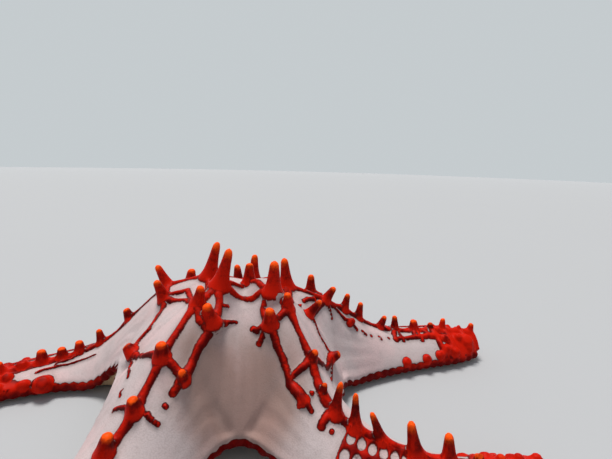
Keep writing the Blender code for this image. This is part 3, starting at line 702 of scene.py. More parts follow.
class Finish:
    """A material on a Principled shader, with the nodes that feed it."""

    def __init__(self, name, **settings):
        self.material = bpy.data.materials.new(name)
        self.material.use_nodes = True
        self.tree = self.material.node_tree
        self.shader = self.tree.nodes["Principled BSDF"]
        for socket, value in settings.items():
            self.shader.inputs[socket.replace("_", " ")].default_value = value

    def add(self, kind, settings, inputs, output=0):
        """Any node: its settings first, then the values or links of its sockets."""
        node = self.tree.nodes.new(kind)
        for name, value in settings.items():
            setattr(node, name, value)
        for name, value in inputs.items():
            self.feed(node.inputs[name], value)
        return Socket(self, node.outputs[output])

    def feed(self, socket, value):
        """Links a socket, or gives it its value."""
        if isinstance(value, Socket):
            self.tree.links.new(value.output, socket)
        else:
            socket.default_value = value

    def place(self):
        return self.add("ShaderNodeTexCoord", {}, {}, "Object")

    def attribute(self, name):
        return self.add("ShaderNodeAttribute", {"attribute_name": name}, {}, "Fac")

    def noise(self, grain, detail=3.0):
        """Noise whose waves are grain long, in metres."""
        return self.add("ShaderNodeTexNoise", {}, {
            "Vector": self.place(), "Scale": 1.0 / grain, "Detail": detail,
            "Roughness": NOISE_ROUGHNESS})

    def cells(self, grain):
        """The distance from the middle of cells about grain across, in metres."""
        return self.add("ShaderNodeTexVoronoi", {"feature": "F1"}, {
            "Vector": self.place(), "Scale": 1.0 / grain}, "Distance")

    def step(self, value, low, high):
        """Rises smoothly from 0 at low to 1 at high."""
        return self.add("ShaderNodeMapRange", {"interpolation_type": "SMOOTHSTEP"}, {
            "Value": value, "From Min": low, "From Max": high})

    def mix(self, factor, first, second):
        return self.add("ShaderNodeMix", {"data_type": "RGBA"}, {0: factor, 6: first, 7: second}, 2)

    def bump(self, height, distance, strength):
        return self.add("ShaderNodeBump", {}, {
            "Height": height, "Distance": distance, "Strength": strength})

    def wear(self, **sockets):
        for name, value in sockets.items():
            self.feed(self.shader.inputs[name.replace("_", " ")], value)
        return self.material


def rgba(colour):
    return (*colour, 1.0)


# Sizes and colours

def length_of(name, description, default, **limits):
    return FloatProperty(name=name, description=description, default=default, unit="LENGTH",
                         precision=5, **limits)


def colour_of(name, description, default):
    return FloatVectorProperty(name=name, description=description, default=default, subtype="COLOR")


class StarSkin(bpy.types.PropertyGroup):
    voxel: length_of("Voxel", "Edge of the cells that the skin is fused from", 0.00052, min=0.0002)
    quick_voxel: length_of("Quick voxel", "The same, for a quick look", 0.0008, min=0.0002)
    smoothing: IntProperty(name="Smoothing", description="Rounds of smoothing after fusing",
                           default=4, min=0)
    most_faces: IntProperty(name="Most triangles", description="Triangles of the finished skin",
                            default=196000, min=1000)
    ridge_rise: length_of("Ridge rise", "How far the ridges stand over the skin", 0.00095)
    rim: length_of("Red rim", "How far the red spreads past a ridge or spine", 0.0002)
    plate_pitch: length_of("Plate pitch", "Spacing of the plates of the margin", 0.0041)
    grey: colour_of("Grey", "Skin between the ridges", (0.52, 0.44, 0.445))
    pink: colour_of("Pink", "Warmer patches of the grey skin", (0.60, 0.455, 0.46))
    # Pore grey is also the painted shade round the red ridges and spines
    shadow_grey: colour_of("Pore grey", "Pores and creases of the grey skin", (0.30, 0.24, 0.23))
    # Brown: painted shade low between the front arms, partly a browner tone of the skin
    brown_shade: colour_of("Brown", "The cloud low between the front arms", (0.26, 0.155, 0.125))
    # Red is the red of the ridges and spines in painted light; maroon is that red in painted shade and
    # in its darker patches
    red: colour_of("Red", "Ridges and spines", (0.52, 0.0090, 0.0012))
    maroon_shade_and_patches: colour_of("Maroon", "Darker patches of the red", (0.12, 0.0006, 0.0004))
    # Orange: the spines' tips, partly their own colour and partly a painted highlight
    orange: colour_of("Orange", "Tips of the spines", (1.0, 0.095, 0.005))
    # Outline: a dark rim of painted shade at the edge of the red, where the ridges meet the skin
    outline: colour_of("Outline", "Dark rim of the red", (0.035, 0.0010, 0.0008))
    under: colour_of("Underside", "Skin of the underside", (0.52, 0.36, 0.22))


class StarFeet(bpy.types.PropertyGroup):
    pitch: length_of("Pitch", "Spacing of the tube feet along a groove", 0.0034)
    radius: length_of("Radius", "Radius of a tube foot", 0.00062)
    spine_pitch: length_of("Spinelet pitch", "Spacing of the spinelets by the groove", 0.0017)
    spine_length: length_of("Spinelet length", "Length of a spinelet", 0.0026)
    flesh: colour_of("Flesh", "Tube feet", (0.72, 0.52, 0.20))
    sucker: colour_of("Sucker", "Suckers of the tube feet", (0.80, 0.66, 0.38))
    spinelet: colour_of("Spinelet", "Spinelets by the groove", (0.62, 0.42, 0.20))


class StarSieve(bpy.types.PropertyGroup):
    furrows: IntProperty(name="Furrows", description="Furrows round the sieve plate", default=22)
    depth: length_of("Depth", "Depth of a furrow", 0.00022)
    pale: colour_of("Pale", "The sieve plate", (0.66, 0.50, 0.40))
    furrow: colour_of("Furrow", "Its furrows", (0.30, 0.14, 0.10))


class StarStage(bpy.types.PropertyGroup):
    lens: FloatProperty(name="Lens", description="Focal length in millimetres", default=22.65)
    eye: FloatVectorProperty(name="Eye", description="The camera's place from the star's centre",
                             default=(0.02405, -0.1508, 0.0962), subtype="TRANSLATION", unit="LENGTH")
    pitch: FloatProperty(name="Pitch", description="How far the camera looks down",
                         default=math.radians(10.3), subtype="ANGLE")
    roll: FloatProperty(name="Roll", description="How far the camera leans", default=math.radians(1.5),
                        subtype="ANGLE")
    floor: colour_of("Floor", "The pale floor", (0.41, 0.42, 0.44))
    backdrop: colour_of("Backdrop", "The glowing backdrop", (0.56, 0.60, 0.62))
    key_power: FloatProperty(name="Key", description="Strength of the key light", default=3.3)
    fill_power: FloatProperty(name="Fill", description="Strength of the light from all round",
                              default=0.42)


def skin_settings():
    return bpy.context.scene.star_skin


# The body, fused from overlapping closed solids

TUCK_RUN = 0.055
SEAM_OVERLAP = 0.005
BODY_ROWS = 200
BODY_COLUMNS = 160
TOP_COLUMNS = 0.50
WALL_COLUMNS = 0.08
MERGE_DISTANCE = 0.00001


def arm_body(arm):
    """One arm with its share of the disc: a grid rolled up into a closed body."""
    deselect()
    bpy.ops.mesh.primitive_grid_add(x_subdivisions=BODY_COLUMNS, y_subdivisions=BODY_ROWS, size=1.0)
    body = bpy.context.object
    grid = coordinates(body)
    around = grid[:, 0] + 0.5
    station = (grid[:, 1] + 0.5) * ARMS[arm].length
    left_end = TOP_COLUMNS + WALL_COLUMNS
    right_end = 1.0 - WALL_COLUMNS
    top = around <= TOP_COLUMNS
    left = (around > TOP_COLUMNS) & (around <= left_end)
    under = (around > left_end) & (around <= right_end)
    across_top = -1.0 + 2.0 * around / TOP_COLUMNS
    across_under = 1.0 - 2.0 * (around - left_end) / (right_end - left_end)
    share = np.clip(np.where(top, across_top, across_under), -1.0, 1.0)
    down_left = (around - TOP_COLUMNS) / WALL_COLUMNS
    down_right = 1.0 - (around - right_end) / WALL_COLUMNS
    down = np.where(left, down_left, down_right)
    side = np.where(left, 1.0, -1.0)
    start = corner_station(arm, share)
    tuck = 1.0 - (1.0 - EDGE_TUCK) * ease(start, start + TUCK_RUN, station)
    wall_share = side * (1.0 - (1.0 - tuck) * down ** 2)
    wall = ~top & ~under
    share = np.where(wall, wall_share, np.where(under, share * tuck, share))
    offset = share * on_side(half_width, arm, share, station)
    inside = 1.0 - ease(start - TUCK_RUN, start, station)
    offset += np.sign(share) * SEAM_OVERLAP * inside * (np.abs(share) == 1.0)
    upper = skin_height(arm, station, np.clip(share, -1.0, 1.0))
    lower = under_height(arm, station, np.where(under, share / tuck, 1.0))
    edge = skin_height(arm, station, side)
    low = under_height(arm, station, side)
    height = np.where(top, upper, np.where(under, lower, edge + (low - edge) * down))
    set_coordinates(body, to_frame(arm, station, offset, height))
    bpy.ops.object.mode_set(mode="EDIT")
    bpy.ops.mesh.select_all(action="SELECT")
    bpy.ops.mesh.remove_doubles(threshold=MERGE_DISTANCE)
    bpy.ops.mesh.normals_make_consistent(inside=False)
    bpy.ops.object.mode_set(mode="OBJECT")
    return body


# A spine, at levels that are shares of its height and with radii that are shares of the reach
SPINE_LEVELS = (-0.30, -0.08, 0.02, 0.10, 0.20, 0.32, 0.46, 0.62, 0.78, 0.88, 0.94, 0.98, 1.0)
SPINE_SIDES = 14
SPINE_BODY = 0.0200
SPINE_TIP = 0.0112
SPINE_FLARE = 0.17
SPINE_FLARE_RUN = 0.20
FLARE_FROM = 0.022
SPINE_BLUNT = 0.14
SPINE_END = 0.97
SPINE_STRETCH = 1.03
SPINE_BEND = 0.08
SPINE_BEND_UP = 0.2
SPINE_SEED = 11
# The height below which a spine's tip doesn't get the full orange of its painted highlight
STUBBY = 0.03
MARK_STEP = 0.0006
FEWEST_MARKS = 4


def spine_radius(knob, level):
    """A body that tapers to a blunt end, with a flare at the foot of a tall one."""
    up = np.clip(level, 0.0, 1.0)
    body = SPINE_TIP + (SPINE_BODY - SPINE_TIP) * (1.0 - up)
    flare = SPINE_FLARE * max(knob.height - FLARE_FROM, 0.0) * np.exp(-up / SPINE_FLARE_RUN)
    into_end = np.maximum(up - (1.0 - SPINE_BLUNT), 0.0) / SPINE_BLUNT
    return (knob.girth * body + flare) * np.sqrt(1.0 - SPINE_END * into_end ** 2) * REACH


def tree_of(points):
    """For finding the points nearest to a place."""
    tree = KDTree(len(points))
    for index, point in enumerate(points):
        tree.insert(point, index)
    tree.balance()
    return tree


class Marks:
    """What the skin's red comes from: points with a radius, and how high up a spine each is.

    A point of the skin asks only some of its nearest neighbours among them.
    """

    def __init__(self, neighbours):
        self.neighbours = neighbours
        self.points = []
        self.radii = []
        self.levels = []

    def add(self, point, radius, level=0.0):
        self.points.append(point)
        self.radii.append(radius)
        self.levels.append(level)

    def cores(self, points):
        """How near each point is to the middle of a ridge seen from above, from 0 at its edge to 1."""
        tree = tree_of([(point[0], point[1], 0.0) for point in self.points])
        found = [max(1.0 - distance / self.radii[index]
                     for co, index, distance in tree.find_n((point[0], point[1], 0.0), self.neighbours))
                 for point in points]
        return np.clip(np.array(found), 0.0, 1.0)

    def depths(self, points):
        """How deep each point lies in the red, in metres, and how high up a spine that red is."""
        tree = tree_of(self.points)
        rim = skin_settings().rim
        found = [max((self.radii[index] + rim - distance, self.levels[index])
                     for co, index, distance in tree.find_n(point, self.neighbours))
                 for point in points]
        return np.array(found).T


def add_spine(template, foot, direction, knob, sway, marks):
    """Copies the spine to its foot, gives it its radii and bends its upper half a little."""
    length = knob.height * REACH * SPINE_STRETCH
    matrix = direction_matrix(foot, direction.normalized(), 1.0, length)
    bend = Vector((sway.uniform(-1.0, 1.0), sway.uniform(-1.0, 1.0), SPINE_BEND_UP))
    bend = bend * SPINE_BEND * length
    spine = copy_of(template, Matrix.Identity(4))
    points = coordinates(spine)
    levels = points[:, 2].copy()
    points[:, :2] *= spine_radius(knob, levels)[:, None]
    set_coordinates(spine, points)
    spine.data.transform(matrix)
    set_coordinates(spine, coordinates(spine) + np.outer(np.clip(levels, 0.0, 1.0) ** 2, bend))
    highest = min(knob.height / STUBBY, 1.0)
    for level in np.linspace(0.0, 1.0, max(int(length / MARK_STEP), FEWEST_MARKS)):
        level = float(level)
        centre = matrix @ Vector((0.0, 0.0, level)) + bend * level ** 2
        marks.add(centre, float(spine_radius(knob, level)), level * highest)
    return spine


def lean(arm, station, along, side):
    """A direction up from the skin that leans out along the arm and to its left."""
    heading = float(axis_point(arm, station)[2])
    out = Vector((math.cos(heading), math.sin(heading), 0.0))
    left = Vector((-math.sin(heading), math.cos(heading), 0.0))
    return Vector((0.0, 0.0, 1.0)) + out * along + left * side


def side_knobs(arm, side):
    """The spines of one side, mirrored from the usual ones where the arm has none of its own."""
    if (arm, side) in SIDE_KNOBS:
        return SIDE_KNOBS[arm, side]
    return [knob._replace(offset=knob.offset * side, side=knob.side * side) for knob in USUAL_SIDE]


def tip_knobs(arm, side):
    """The rows of small spines near the tip, whose offsets are shares of the half width."""
    made = []
    for knob in TIP_ROWS:
        station = knob.station * ARMS[arm].length / TIP_ROWS_LENGTH
        offset = side * knob.offset * float(half_width(arm, side, station))
        lean_out = side * (TIP_ROW_LEAN + knob.offset)
        made.append(Knob(station, offset, knob.height, TIP_ROW_ALONG, lean_out, TIP_ROW_GIRTH))
    return made


def all_knobs(arm):
    """Every spine of an arm. The disc's middle one is with the front right arm's."""
    knobs = list(CRESTS[arm])
    for side in (1, -1):
        knobs += side_knobs(arm, side)
        knobs += tip_knobs(arm, side)
    if arm == "front_right":
        knobs.append(CENTRE_KNOB)
    return knobs


def spines(marks):
    """Every spine as a copy of one turned shape, and its marks."""
    sway = random.Random(SPINE_SEED)
    template = turned("spine", [(level, 1.0) for level in SPINE_LEVELS], SPINE_SIDES)
    made = []
    for arm in ARMS:
        for knob in all_knobs(arm):
            foot = on_skin(arm, knob.station, knob.offset)
            direction = lean(arm, knob.station, knob.along, knob.side)
            made.append(add_spine(template, foot, direction, knob, sway, marks))
    remove(template)
    return made


CORNER_SMOOTHING = 14
CORNER_REACH = 0.007
CORNER_LEAST = 0.05


def soften_corners(body):
    """Smooths the skin where the margins of two arms meet."""
    points = coordinates(body)
    near = np.zeros(len(points))
    for arm in ARMS:
        start = corner(arm, 1).station
        offset = start * math.tan(half_angle(arm, 1))
        place = to_frame(arm, start, offset, float(edge_height(arm, 1, start)))
        away = np.linalg.norm(points - place, axis=1)
        near = np.maximum(near, np.exp(-(away / CORNER_REACH) ** 2))
    group = body.vertex_groups.new(name="corners")
    for index in np.flatnonzero(near > CORNER_LEAST):
        group.add([int(index)], float(near[index]), "REPLACE")
    smooth(body, CORNER_SMOOTHING, "corners")
    body.vertex_groups.clear()


# The ridges' paths: the step of their points, how far and over what length they sway and swell, how
# fast that fades in from their ends, and how unlike each other they are
PATH_STEP = 0.0007
RIDGE_WOBBLE = 0.00045
RIDGE_SWELL = 0.22
WOBBLE_LENGTH = 0.007
WOBBLE_FADE = 4.0
WOBBLE_SHIFT = 1.7
# How much wider and higher the ridges are at the foot of a spine, and how far out that reaches
WEB_SWELL = 0.45
WEB_RISE = 1.0
WEB_RUN = 0.0055
# How much wider the ridges' red is on the outer arms, and how much wider they are there at most
WIDENING = 0.9
WIDENING_RUN = (0.50, 0.80)
WIDEST = 1.35
# The radius of the ridges round the disc, and how far from an arm's end the ridge of its crest stops
RING = BROAD * 0.9
CREST_END = 0.03


def side_ridges(arm, side):
    """The ridges of one side, mirrored from the usual ones where the arm has none of its own."""
    if (arm, side) in RIDGES:
        return RIDGES[arm, side]
    return [Ridge(ridge.radius, [(station, offset * side) for station, offset in ridge.points])
            for ridge in USUAL_RIDGES]


def ridge_paths():
    """Every ridge as its radius and the points of its path in the plan, in metres."""
    paths = list(LINKS)
    for arm, shape in ARMS.items():
        crest = [(arm, knob.station, knob.offset) for knob in CRESTS[arm]]
        paths.append(Ridge(BROAD, crest + [(arm, shape.length - CREST_END, 0.0)]))
        for side in (1, -1):
            for ridge in side_ridges(arm, side):
                paths.append(Ridge(ridge.radius, [(arm, *point) for point in ridge.points]))
            paths += tip_rungs(arm, side)
            owner = corner_owner(arm, side)
            if owner in RING_DIP:
                angle = half_angle(arm, side)
                dip = RING_DIP[owner]
                low = (arm, dip * math.cos(angle), side * dip * math.sin(angle))
                paths.append(Ridge(RING, [crest[0], low]))
    return [(ridge.radius * REACH, [to_frame(*end, 0.0) for end in ridge.points]) for ridge in paths]


def window_net(station, offset):
    """How deep places of the front right arm lie in the red round its windows, in metres."""
    last = round((WINDOWS_TO - WINDOWS_FROM) / WINDOW_PITCH)
    nearest = np.clip(np.round((station - WINDOWS_FROM) / WINDOW_PITCH), 0, last)
    along = station - WINDOWS_FROM - nearest * WINDOW_PITCH
    across = offset - np.minimum(WINDOW_DRIFT * (station - WINDOWS_FROM), WINDOW_MOST)
    tall = WINDOW_RADIUS * WINDOW_TALL + WINDOW_MARGIN
    depth = np.minimum(across - WINDOW_ROWS[-1], WINDOW_ROWS[0] - across) + tall
    ends = np.minimum(station - WINDOWS_FROM, WINDOWS_FROM + last * WINDOW_PITCH - station)
    depth = np.minimum(depth, ends + WINDOW_RADIUS + WINDOW_MARGIN)
    for row in WINDOW_ROWS:
        depth = np.minimum(depth, np.hypot(along, (across - row) / WINDOW_TALL) - WINDOW_RADIUS)
    return depth * REACH


# The rungs: from which stations they run to the arm's side line and on to its margin, how far out
# along the arm and at which share of the half width they meet that line and end, and the sides
# without them
RUNGS_FROM = 0.56
LONG_RUNGS_FROM = 0.68
RUNG_PLACES = ((0.008, 0.50), (0.012, 0.95))
BARE_SIDES = (("left", 1), ("front_right", -1))


def tip_rungs(arm, side):
    """Ridges across the outer arm, from its crest to its side line and on to its margin."""
    paths = []
    for knob in CRESTS[arm]:
        if knob.station < RUNGS_FROM or (arm, side) in BARE_SIDES:
            continue
        width = float(half_width(arm, side, knob.station))
        middle, end = [(arm, knob.station + out, side * share * width) for out, share in RUNG_PLACES]
        paths.append(Ridge(FINE, [(arm, knob.station, knob.offset), middle]))
        if knob.station > LONG_RUNGS_FROM:
            paths.append(Ridge(FINE, [middle, end]))
    return paths


def sample_path(ends, number):
    """Evenly spaced points along a path in the plan, swayed a little from side to side."""
    points = []
    for first, second in zip(ends, ends[1:]):
        run = second - first
        length = float(np.linalg.norm(run[:2]))
        count = max(int(length / PATH_STEP), 1)
        across = np.array([-run[1], run[0], 0.0]) / max(length, TINY)
        for step in range(count):
            share = step / count
            fade = min(1.0, WOBBLE_FADE * min(share, 1.0 - share))
            point = first + run * share
            shift = Vector((0.0, 0.0, WOBBLE_SHIFT * number))
            wave = noise.noise(Vector(point) / WOBBLE_LENGTH + shift)
            points.append(point + across * wave * RIDGE_WOBBLE * fade)
    points.append(ends[-1])
    return np.array(points)


def widening(stations):
    """The red net closes up towards the tips of the arms."""
    return 1.0 + WIDENING * ease(*WIDENING_RUN, stations)


def spine_feet():
    """The feet of the spines that ridges run to, for finding the nearest."""
    return tree_of([on_skin(arm, knob.station, knob.offset) for arm in ARMS
                    for knob in (*CRESTS[arm], *side_knobs(arm, 1), *side_knobs(arm, -1))])


def ridges(marks):
    """Round ridges half sunk in the skin, as curves of changing radius made into a mesh."""
    rise = skin_settings().ridge_rise
    feet = spine_feet()
    curve = bpy.data.curves.new("ridges", "CURVE")
    curve.dimensions = "3D"
    curve.bevel_depth = 1.0
    curve.bevel_resolution = 2
    curve.use_fill_caps = True
    for number, (radius, ends) in enumerate(ridge_paths()):
        points = sample_path(ends, number)
        points[:, 2] = height_over(points)
        stations = locate(points)[1]
        swells = [1.0 + RIDGE_SWELL * noise.noise(Vector(point) / WOBBLE_LENGTH) for point in points]
        near = np.array([math.exp(-(feet.find(point)[2] / WEB_RUN) ** 2) for point in points])
        swells = np.array(swells) * (1.0 + WEB_SWELL * near)
        radii = radius * swells * np.minimum(widening(stations), WIDEST)
        points[:, 2] += rise * (1.0 + WEB_RISE * near) - radii
        spline = curve.splines.new("POLY")
        spline.points.add(len(points) - 1)
        for place, point, size in zip(spline.points, points, radii):
            place.co = (*point, 1.0)
            place.radius = size
        red = radius * swells * widening(stations)
        for point, size in zip(points, red):
            marks.add(Vector(point), size)
    made = bpy.data.objects.new("ridges", curve)
    bpy.context.scene.collection.objects.link(made)
    make_active(made)
    bpy.ops.object.convert(target="MESH")
    return bpy.context.object


# The band of red plates on the margin: its height at the corners and what it gains over two runs
# further out, and the most of the wall that it covers
BAND_HEIGHT = 0.024
BAND_STEP = 0.012
BAND_STEP_RUN = (0.32, 0.45)
BAND_SPREAD = 0.030
BAND_SPREAD_RUN = (0.40, 0.75)
BAND_MOST = 0.95
# The plates' half sizes in metres, their half height as a share of the band's height, the pitches from
# a corner to the first plate, and how far from the arm's end they stop
PLATE_OUT = 0.0011
PLATE_ALONG = 0.0023
PLATE_TALL = 0.56
PLATE_SHIFT = 0.3
PLATES_END = 0.012


def band_height(arm, side, station):
    """How far the margin's red plates reach up the wall, as a share of the reach."""
    wall = edge_height(arm, side, station) - bottom_edge(arm, side, station)
    tall = BAND_HEIGHT + BAND_STEP * ease(*BAND_STEP_RUN, station)
    tall = tall + BAND_SPREAD * ease(*BAND_SPREAD_RUN, station)
    return np.minimum(tall, BAND_MOST * wall)


def margin_stations(arm, side):
    """The stations of the margin's plates, at one pitch along the curved axis."""
    step = skin_settings().plate_pitch / REACH
    first = corner(arm, side).station + step * PLATE_SHIFT
    return np.arange(first, ARMS[arm].length - PLATES_END, step)


def margin_plates():
    """Rounded plates along both margins of every arm."""
    deselect()
    bpy.ops.mesh.primitive_ico_sphere_add(subdivisions=2, radius=1.0)
    template = bpy.context.object
    middle_share = 1.0 - 0.5 * (1.0 - EDGE_TUCK)
    made = []
    for arm in ARMS:
        for side in (1, -1):
            for station in margin_stations(arm, side):
                width = float(half_width(arm, side, station))
                low = float(bottom_edge(arm, side, station))
                tall = float(band_height(arm, side, station))
                offset = side * width * middle_share
                centre = Vector(to_frame(arm, float(station), offset, low + 0.5 * tall))
                heading = float(axis_point(arm, station)[2])
                size = Matrix.Diagonal((PLATE_ALONG, PLATE_OUT, PLATE_TALL * tall * REACH, 1.0))
                matrix = Matrix.Translation(centre) @ Matrix.Rotation(heading, 4, "Z") @ size
                made.append(copy_of(template, matrix))
    remove(template)
    return made


# The scalloped top of the margin's band, in metres, and the level of its waves that is left uncut
SCALLOP = 0.0007
SCALLOP_LEVEL = 0.6
# How much painted light the red has, from 0 for maroon in painted shade to 1 for scarlet in painted
# light:
# on the spines, which are painted darker towards their tips, on the net round the windows, at the top
# of the margin's band, which is painted lighter out along the arm and darker down its wall, on the tips
# of the arms, and how much painted light is added high up
SPINE_PAINTED_LIGHT = 0.80
SPINE_PAINTED_SHADE = 0.42
SPINE_PAINTED_SHADE_LEVELS = (0.02, 0.38)
NET_PAINTED_LIGHT = 0.45
BAND_PAINTED_LIGHT = 0.7
BAND_PAINTED_LIGHT_RUN = (0.32, 0.62)
BAND_SHADE_FADE = 0.003
TIP_PAINTED_LIGHT = 0.9
TIP_PAINTED_LIGHT_RUN = 0.006
HIGH_PAINTED_LIGHT = 0.75
HIGH_LEVELS = (0.30, 0.36)
# The stations from which the arms are all red, and the tongue of skin that reaches further out, at
# some shares of the half width
RED_FROM = {"right": 0.715, "rear": 0.74, "left": 0.72, "front_left": 0.75, "front_right": 0.75}
TONGUE = 0.035
TONGUE_RISE = (0.15, 0.45)
TONGUE_FALL = (0.60, 0.85)
# The red net round the windows: how far it stands over the skin and over how much of its edge it
# rises, how far past it the faces are cut finer and how often, and how far up they look at least
NET_RISE = 0.0005
NET_EDGE = 0.0004
NET_ZONE = 0.0015
NET_CUTS = 2
NET_UP = 0.3
# The share of the half width from which a point can be on the red wall, and where the underside's
# colour fades out: towards the margin, and from looking down to looking up. It doesn't fade inside
# the corner, from INNER_FROM to INNER_TO short of it. A spine's orange, partly its own colour and
# partly a painted highlight, stays off what looks down.
WALL_FROM = 0.86
UNDER_SHARES = (0.97, 0.88)
UNDER_UPS = (0.2, -0.2)
INNER_FROM = 0.03
INNER_TO = 0.01
SPINE_UP = -0.5
MILLIMETRES = 1000.0

# The brownish clouds of painted shade low on the front slopes, partly a browner tone of the skin: where
# their middles are, their radii in metres and how strong they are
ShadeCloud = namedtuple("ShadeCloud", "arm station offset radius strength")
SHADE_CLOUDS = (
    ShadeCloud("front_left", 0.290, 0.105, 0.016, 1.0),
    ShadeCloud("front_right", 0.290, -0.125, 0.019, 0.95),
)


def shade_of(points):
    """How much of the brownish clouds of painted shade each point has, from 0 to 1."""
    shade = np.zeros(len(points))
    for shade_cloud in SHADE_CLOUDS:
        middle = to_frame(shade_cloud.arm, shade_cloud.station, shade_cloud.offset, 0.0)
        away = np.hypot(points[:, 0] - middle[0], points[:, 1] - middle[1])
        shade = np.maximum(shade, shade_cloud.strength * np.exp(-(away / shade_cloud.radius) ** 2))
    return shade


def net_depths(body, points):
    """How deep each point lies in the red net round the windows, in metres, or -1 if it can't be."""
    number, station, offset = locate(points)
    own = (number == ORDER.index("front_right")) & (normals_of(body)[:, 2] > NET_UP)
    return np.where(own, window_net(station, offset), -1.0)


def select_faces(body, chosen):
    """Selects the faces whose corners are all chosen, and opens the mesh for editing."""
    make_active(body)
    bpy.ops.object.mode_set(mode="EDIT")
    bpy.ops.mesh.select_mode(type="FACE")
    bpy.ops.mesh.select_all(action="DESELECT")
    bpy.ops.object.mode_set(mode="OBJECT")
    flags = [bool(chosen[list(face.vertices)].all()) for face in body.data.polygons]
    body.data.polygons.foreach_set("select", flags)
    bpy.ops.object.mode_set(mode="EDIT")


def raise_net(body):
    """Raises the red net between the windows a little over the skin, in finer faces."""
    select_faces(body, net_depths(body, coordinates(body)) > -NET_ZONE)
    bpy.ops.mesh.subdivide(number_cuts=NET_CUTS)
    bpy.ops.mesh.select_mode(type="VERT")
    bpy.ops.object.mode_set(mode="OBJECT")
    points = coordinates(body)
    points[:, 2] += NET_RISE * ease(0.0, NET_EDGE, net_depths(body, points))
    set_coordinates(body, points)


def paint(body, spine_marks, ridge_marks):
    """Writes on the skin where it is red, where it is underside, how high up a spine it is for the
    painted highlight of its tip, how much painted light its red has, and the painted shade of the
    brownish clouds.
    """
    points = coordinates(body)
    up = normals_of(body)[:, 2]
    spine_depth, level = spine_marks.depths(points)
    depth = np.maximum(spine_depth, ridge_marks.depths(points)[0])
    level = np.where(spine_depth > 0.0, level, 0.0)
    number, station, offset = locate(points)
    under = np.zeros(len(points))
    band = np.full(len(points), -1.0)
    tip_painted_light = np.zeros(len(points))
    # The spines' red is painted darker up their bodies as painted shade; the ridges' red is painted
    # lighter along their middles, where their tops catch the light, and darker at their edges
    on_spine = SPINE_PAINTED_LIGHT - SPINE_PAINTED_SHADE * ease(*SPINE_PAINTED_SHADE_LEVELS, level)
    painted_light = np.where(spine_depth > 0.0, on_spine, ridge_marks.cores(points))
    pitch = skin_settings().plate_pitch / REACH
    for index, arm in enumerate(ORDER):
        own = number == index
        s = station[own]
        side = offset[own]
        width = np.maximum(on_side(half_width, arm, side, s), TINY)
        share = np.minimum(np.abs(side) / width, 1.0)
        height = points[own, 2] / REACH
        start = corner_station(arm, side)
        wave = np.abs(np.cos(math.pi * (s - start - pitch * PLATE_SHIFT) / pitch))
        band_top = on_side(bottom_edge, arm, side, s) + on_side(band_height, arm, side, s)
        top = band_top * REACH + SCALLOP * (wave - SCALLOP_LEVEL)
        within = 1.0 - ease(start - INNER_FROM, start - INNER_TO, s)
        on_wall = ((share > WALL_FROM) & (within < 1.0)) | (s > ARMS[arm].length - TIP_RUN)
        band[own] = np.where(on_wall, top - points[own, 2], -1.0)
        middle = 0.5 * (skin_height(arm, s, share) + under_height(arm, s, share))
        inner = np.maximum(ease(*UNDER_SHARES, share), within) * ease(*UNDER_UPS, up[own])
        under[own] = np.where(height < middle, inner, 0.0)
        if arm == "front_right":
            net = window_net(s, side)
            depth[own] = np.maximum(depth[own], net)
            painted_light[own] = np.where((net > 0.0) & (spine_depth[own] <= 0.0), NET_PAINTED_LIGHT, painted_light[own])
        # Painted light on the red high up on the disc
        painted_light[own] += HIGH_PAINTED_LIGHT * ease(*HIGH_LEVELS, height)
        tongue = TONGUE * ease(*TONGUE_RISE, share) * (1.0 - ease(*TONGUE_FALL, share))
        tip = (s - RED_FROM[arm] - tongue) * REACH
        depth[own] = np.maximum(depth[own], tip)
        # Painted light on the tips of the arms, only above the margin's height
        tip_painted_light[own] = TIP_PAINTED_LIGHT * np.clip(tip / TIP_PAINTED_LIGHT_RUN, 0.0, 1.0) * (height > MARGIN_HEIGHT)
    # The band's painted light grows out along the arm and gives way to painted shade down its wall
    on_band = BAND_PAINTED_LIGHT * ease(*BAND_PAINTED_LIGHT_RUN, station) * np.clip(1.0 - band / BAND_SHADE_FADE, 0.0, 1.0)
    painted_light = np.where((band > 0.0) & (spine_depth <= 0.0), on_band, painted_light)
    set_attribute(body, "painted_light", np.maximum(painted_light, tip_painted_light))
    set_attribute(body, "red_depth", np.maximum(depth, band) * MILLIMETRES)
    # Where the spines' orange highlight is painted: how high up a spine, on faces that don't look down
    set_attribute(body, "lit_spine_level", level * (up > SPINE_UP))
    set_attribute(body, "underside", under)
    set_attribute(body, "shade", shade_of(points))


# The grains of the skin's patterns, in metres
RAGGED_GRAIN = 0.0016
FRAYED_GRAIN = 0.0005
PATCH_GRAIN = 0.017
PORE_GRAIN = 0.00045
MOTTLE_GRAIN = 0.0045
SHADE_CLOUD_GRAIN = 0.012
SPECK_GRAIN = 0.002
BLOTCH_GRAIN = 0.005
RELIEF_GRAIN = 0.0011
# How strongly each of them shows
RAGGED = 0.4
FRAYED = 0.2
PORES = 0.22
MOTTLE = 0.20
SHADE_CLOUDY = 0.8
SHADE_ROUND_RED = 0.35
BLOTCHES = 1.6
RIM_SHADE_STRENGTH = 0.85


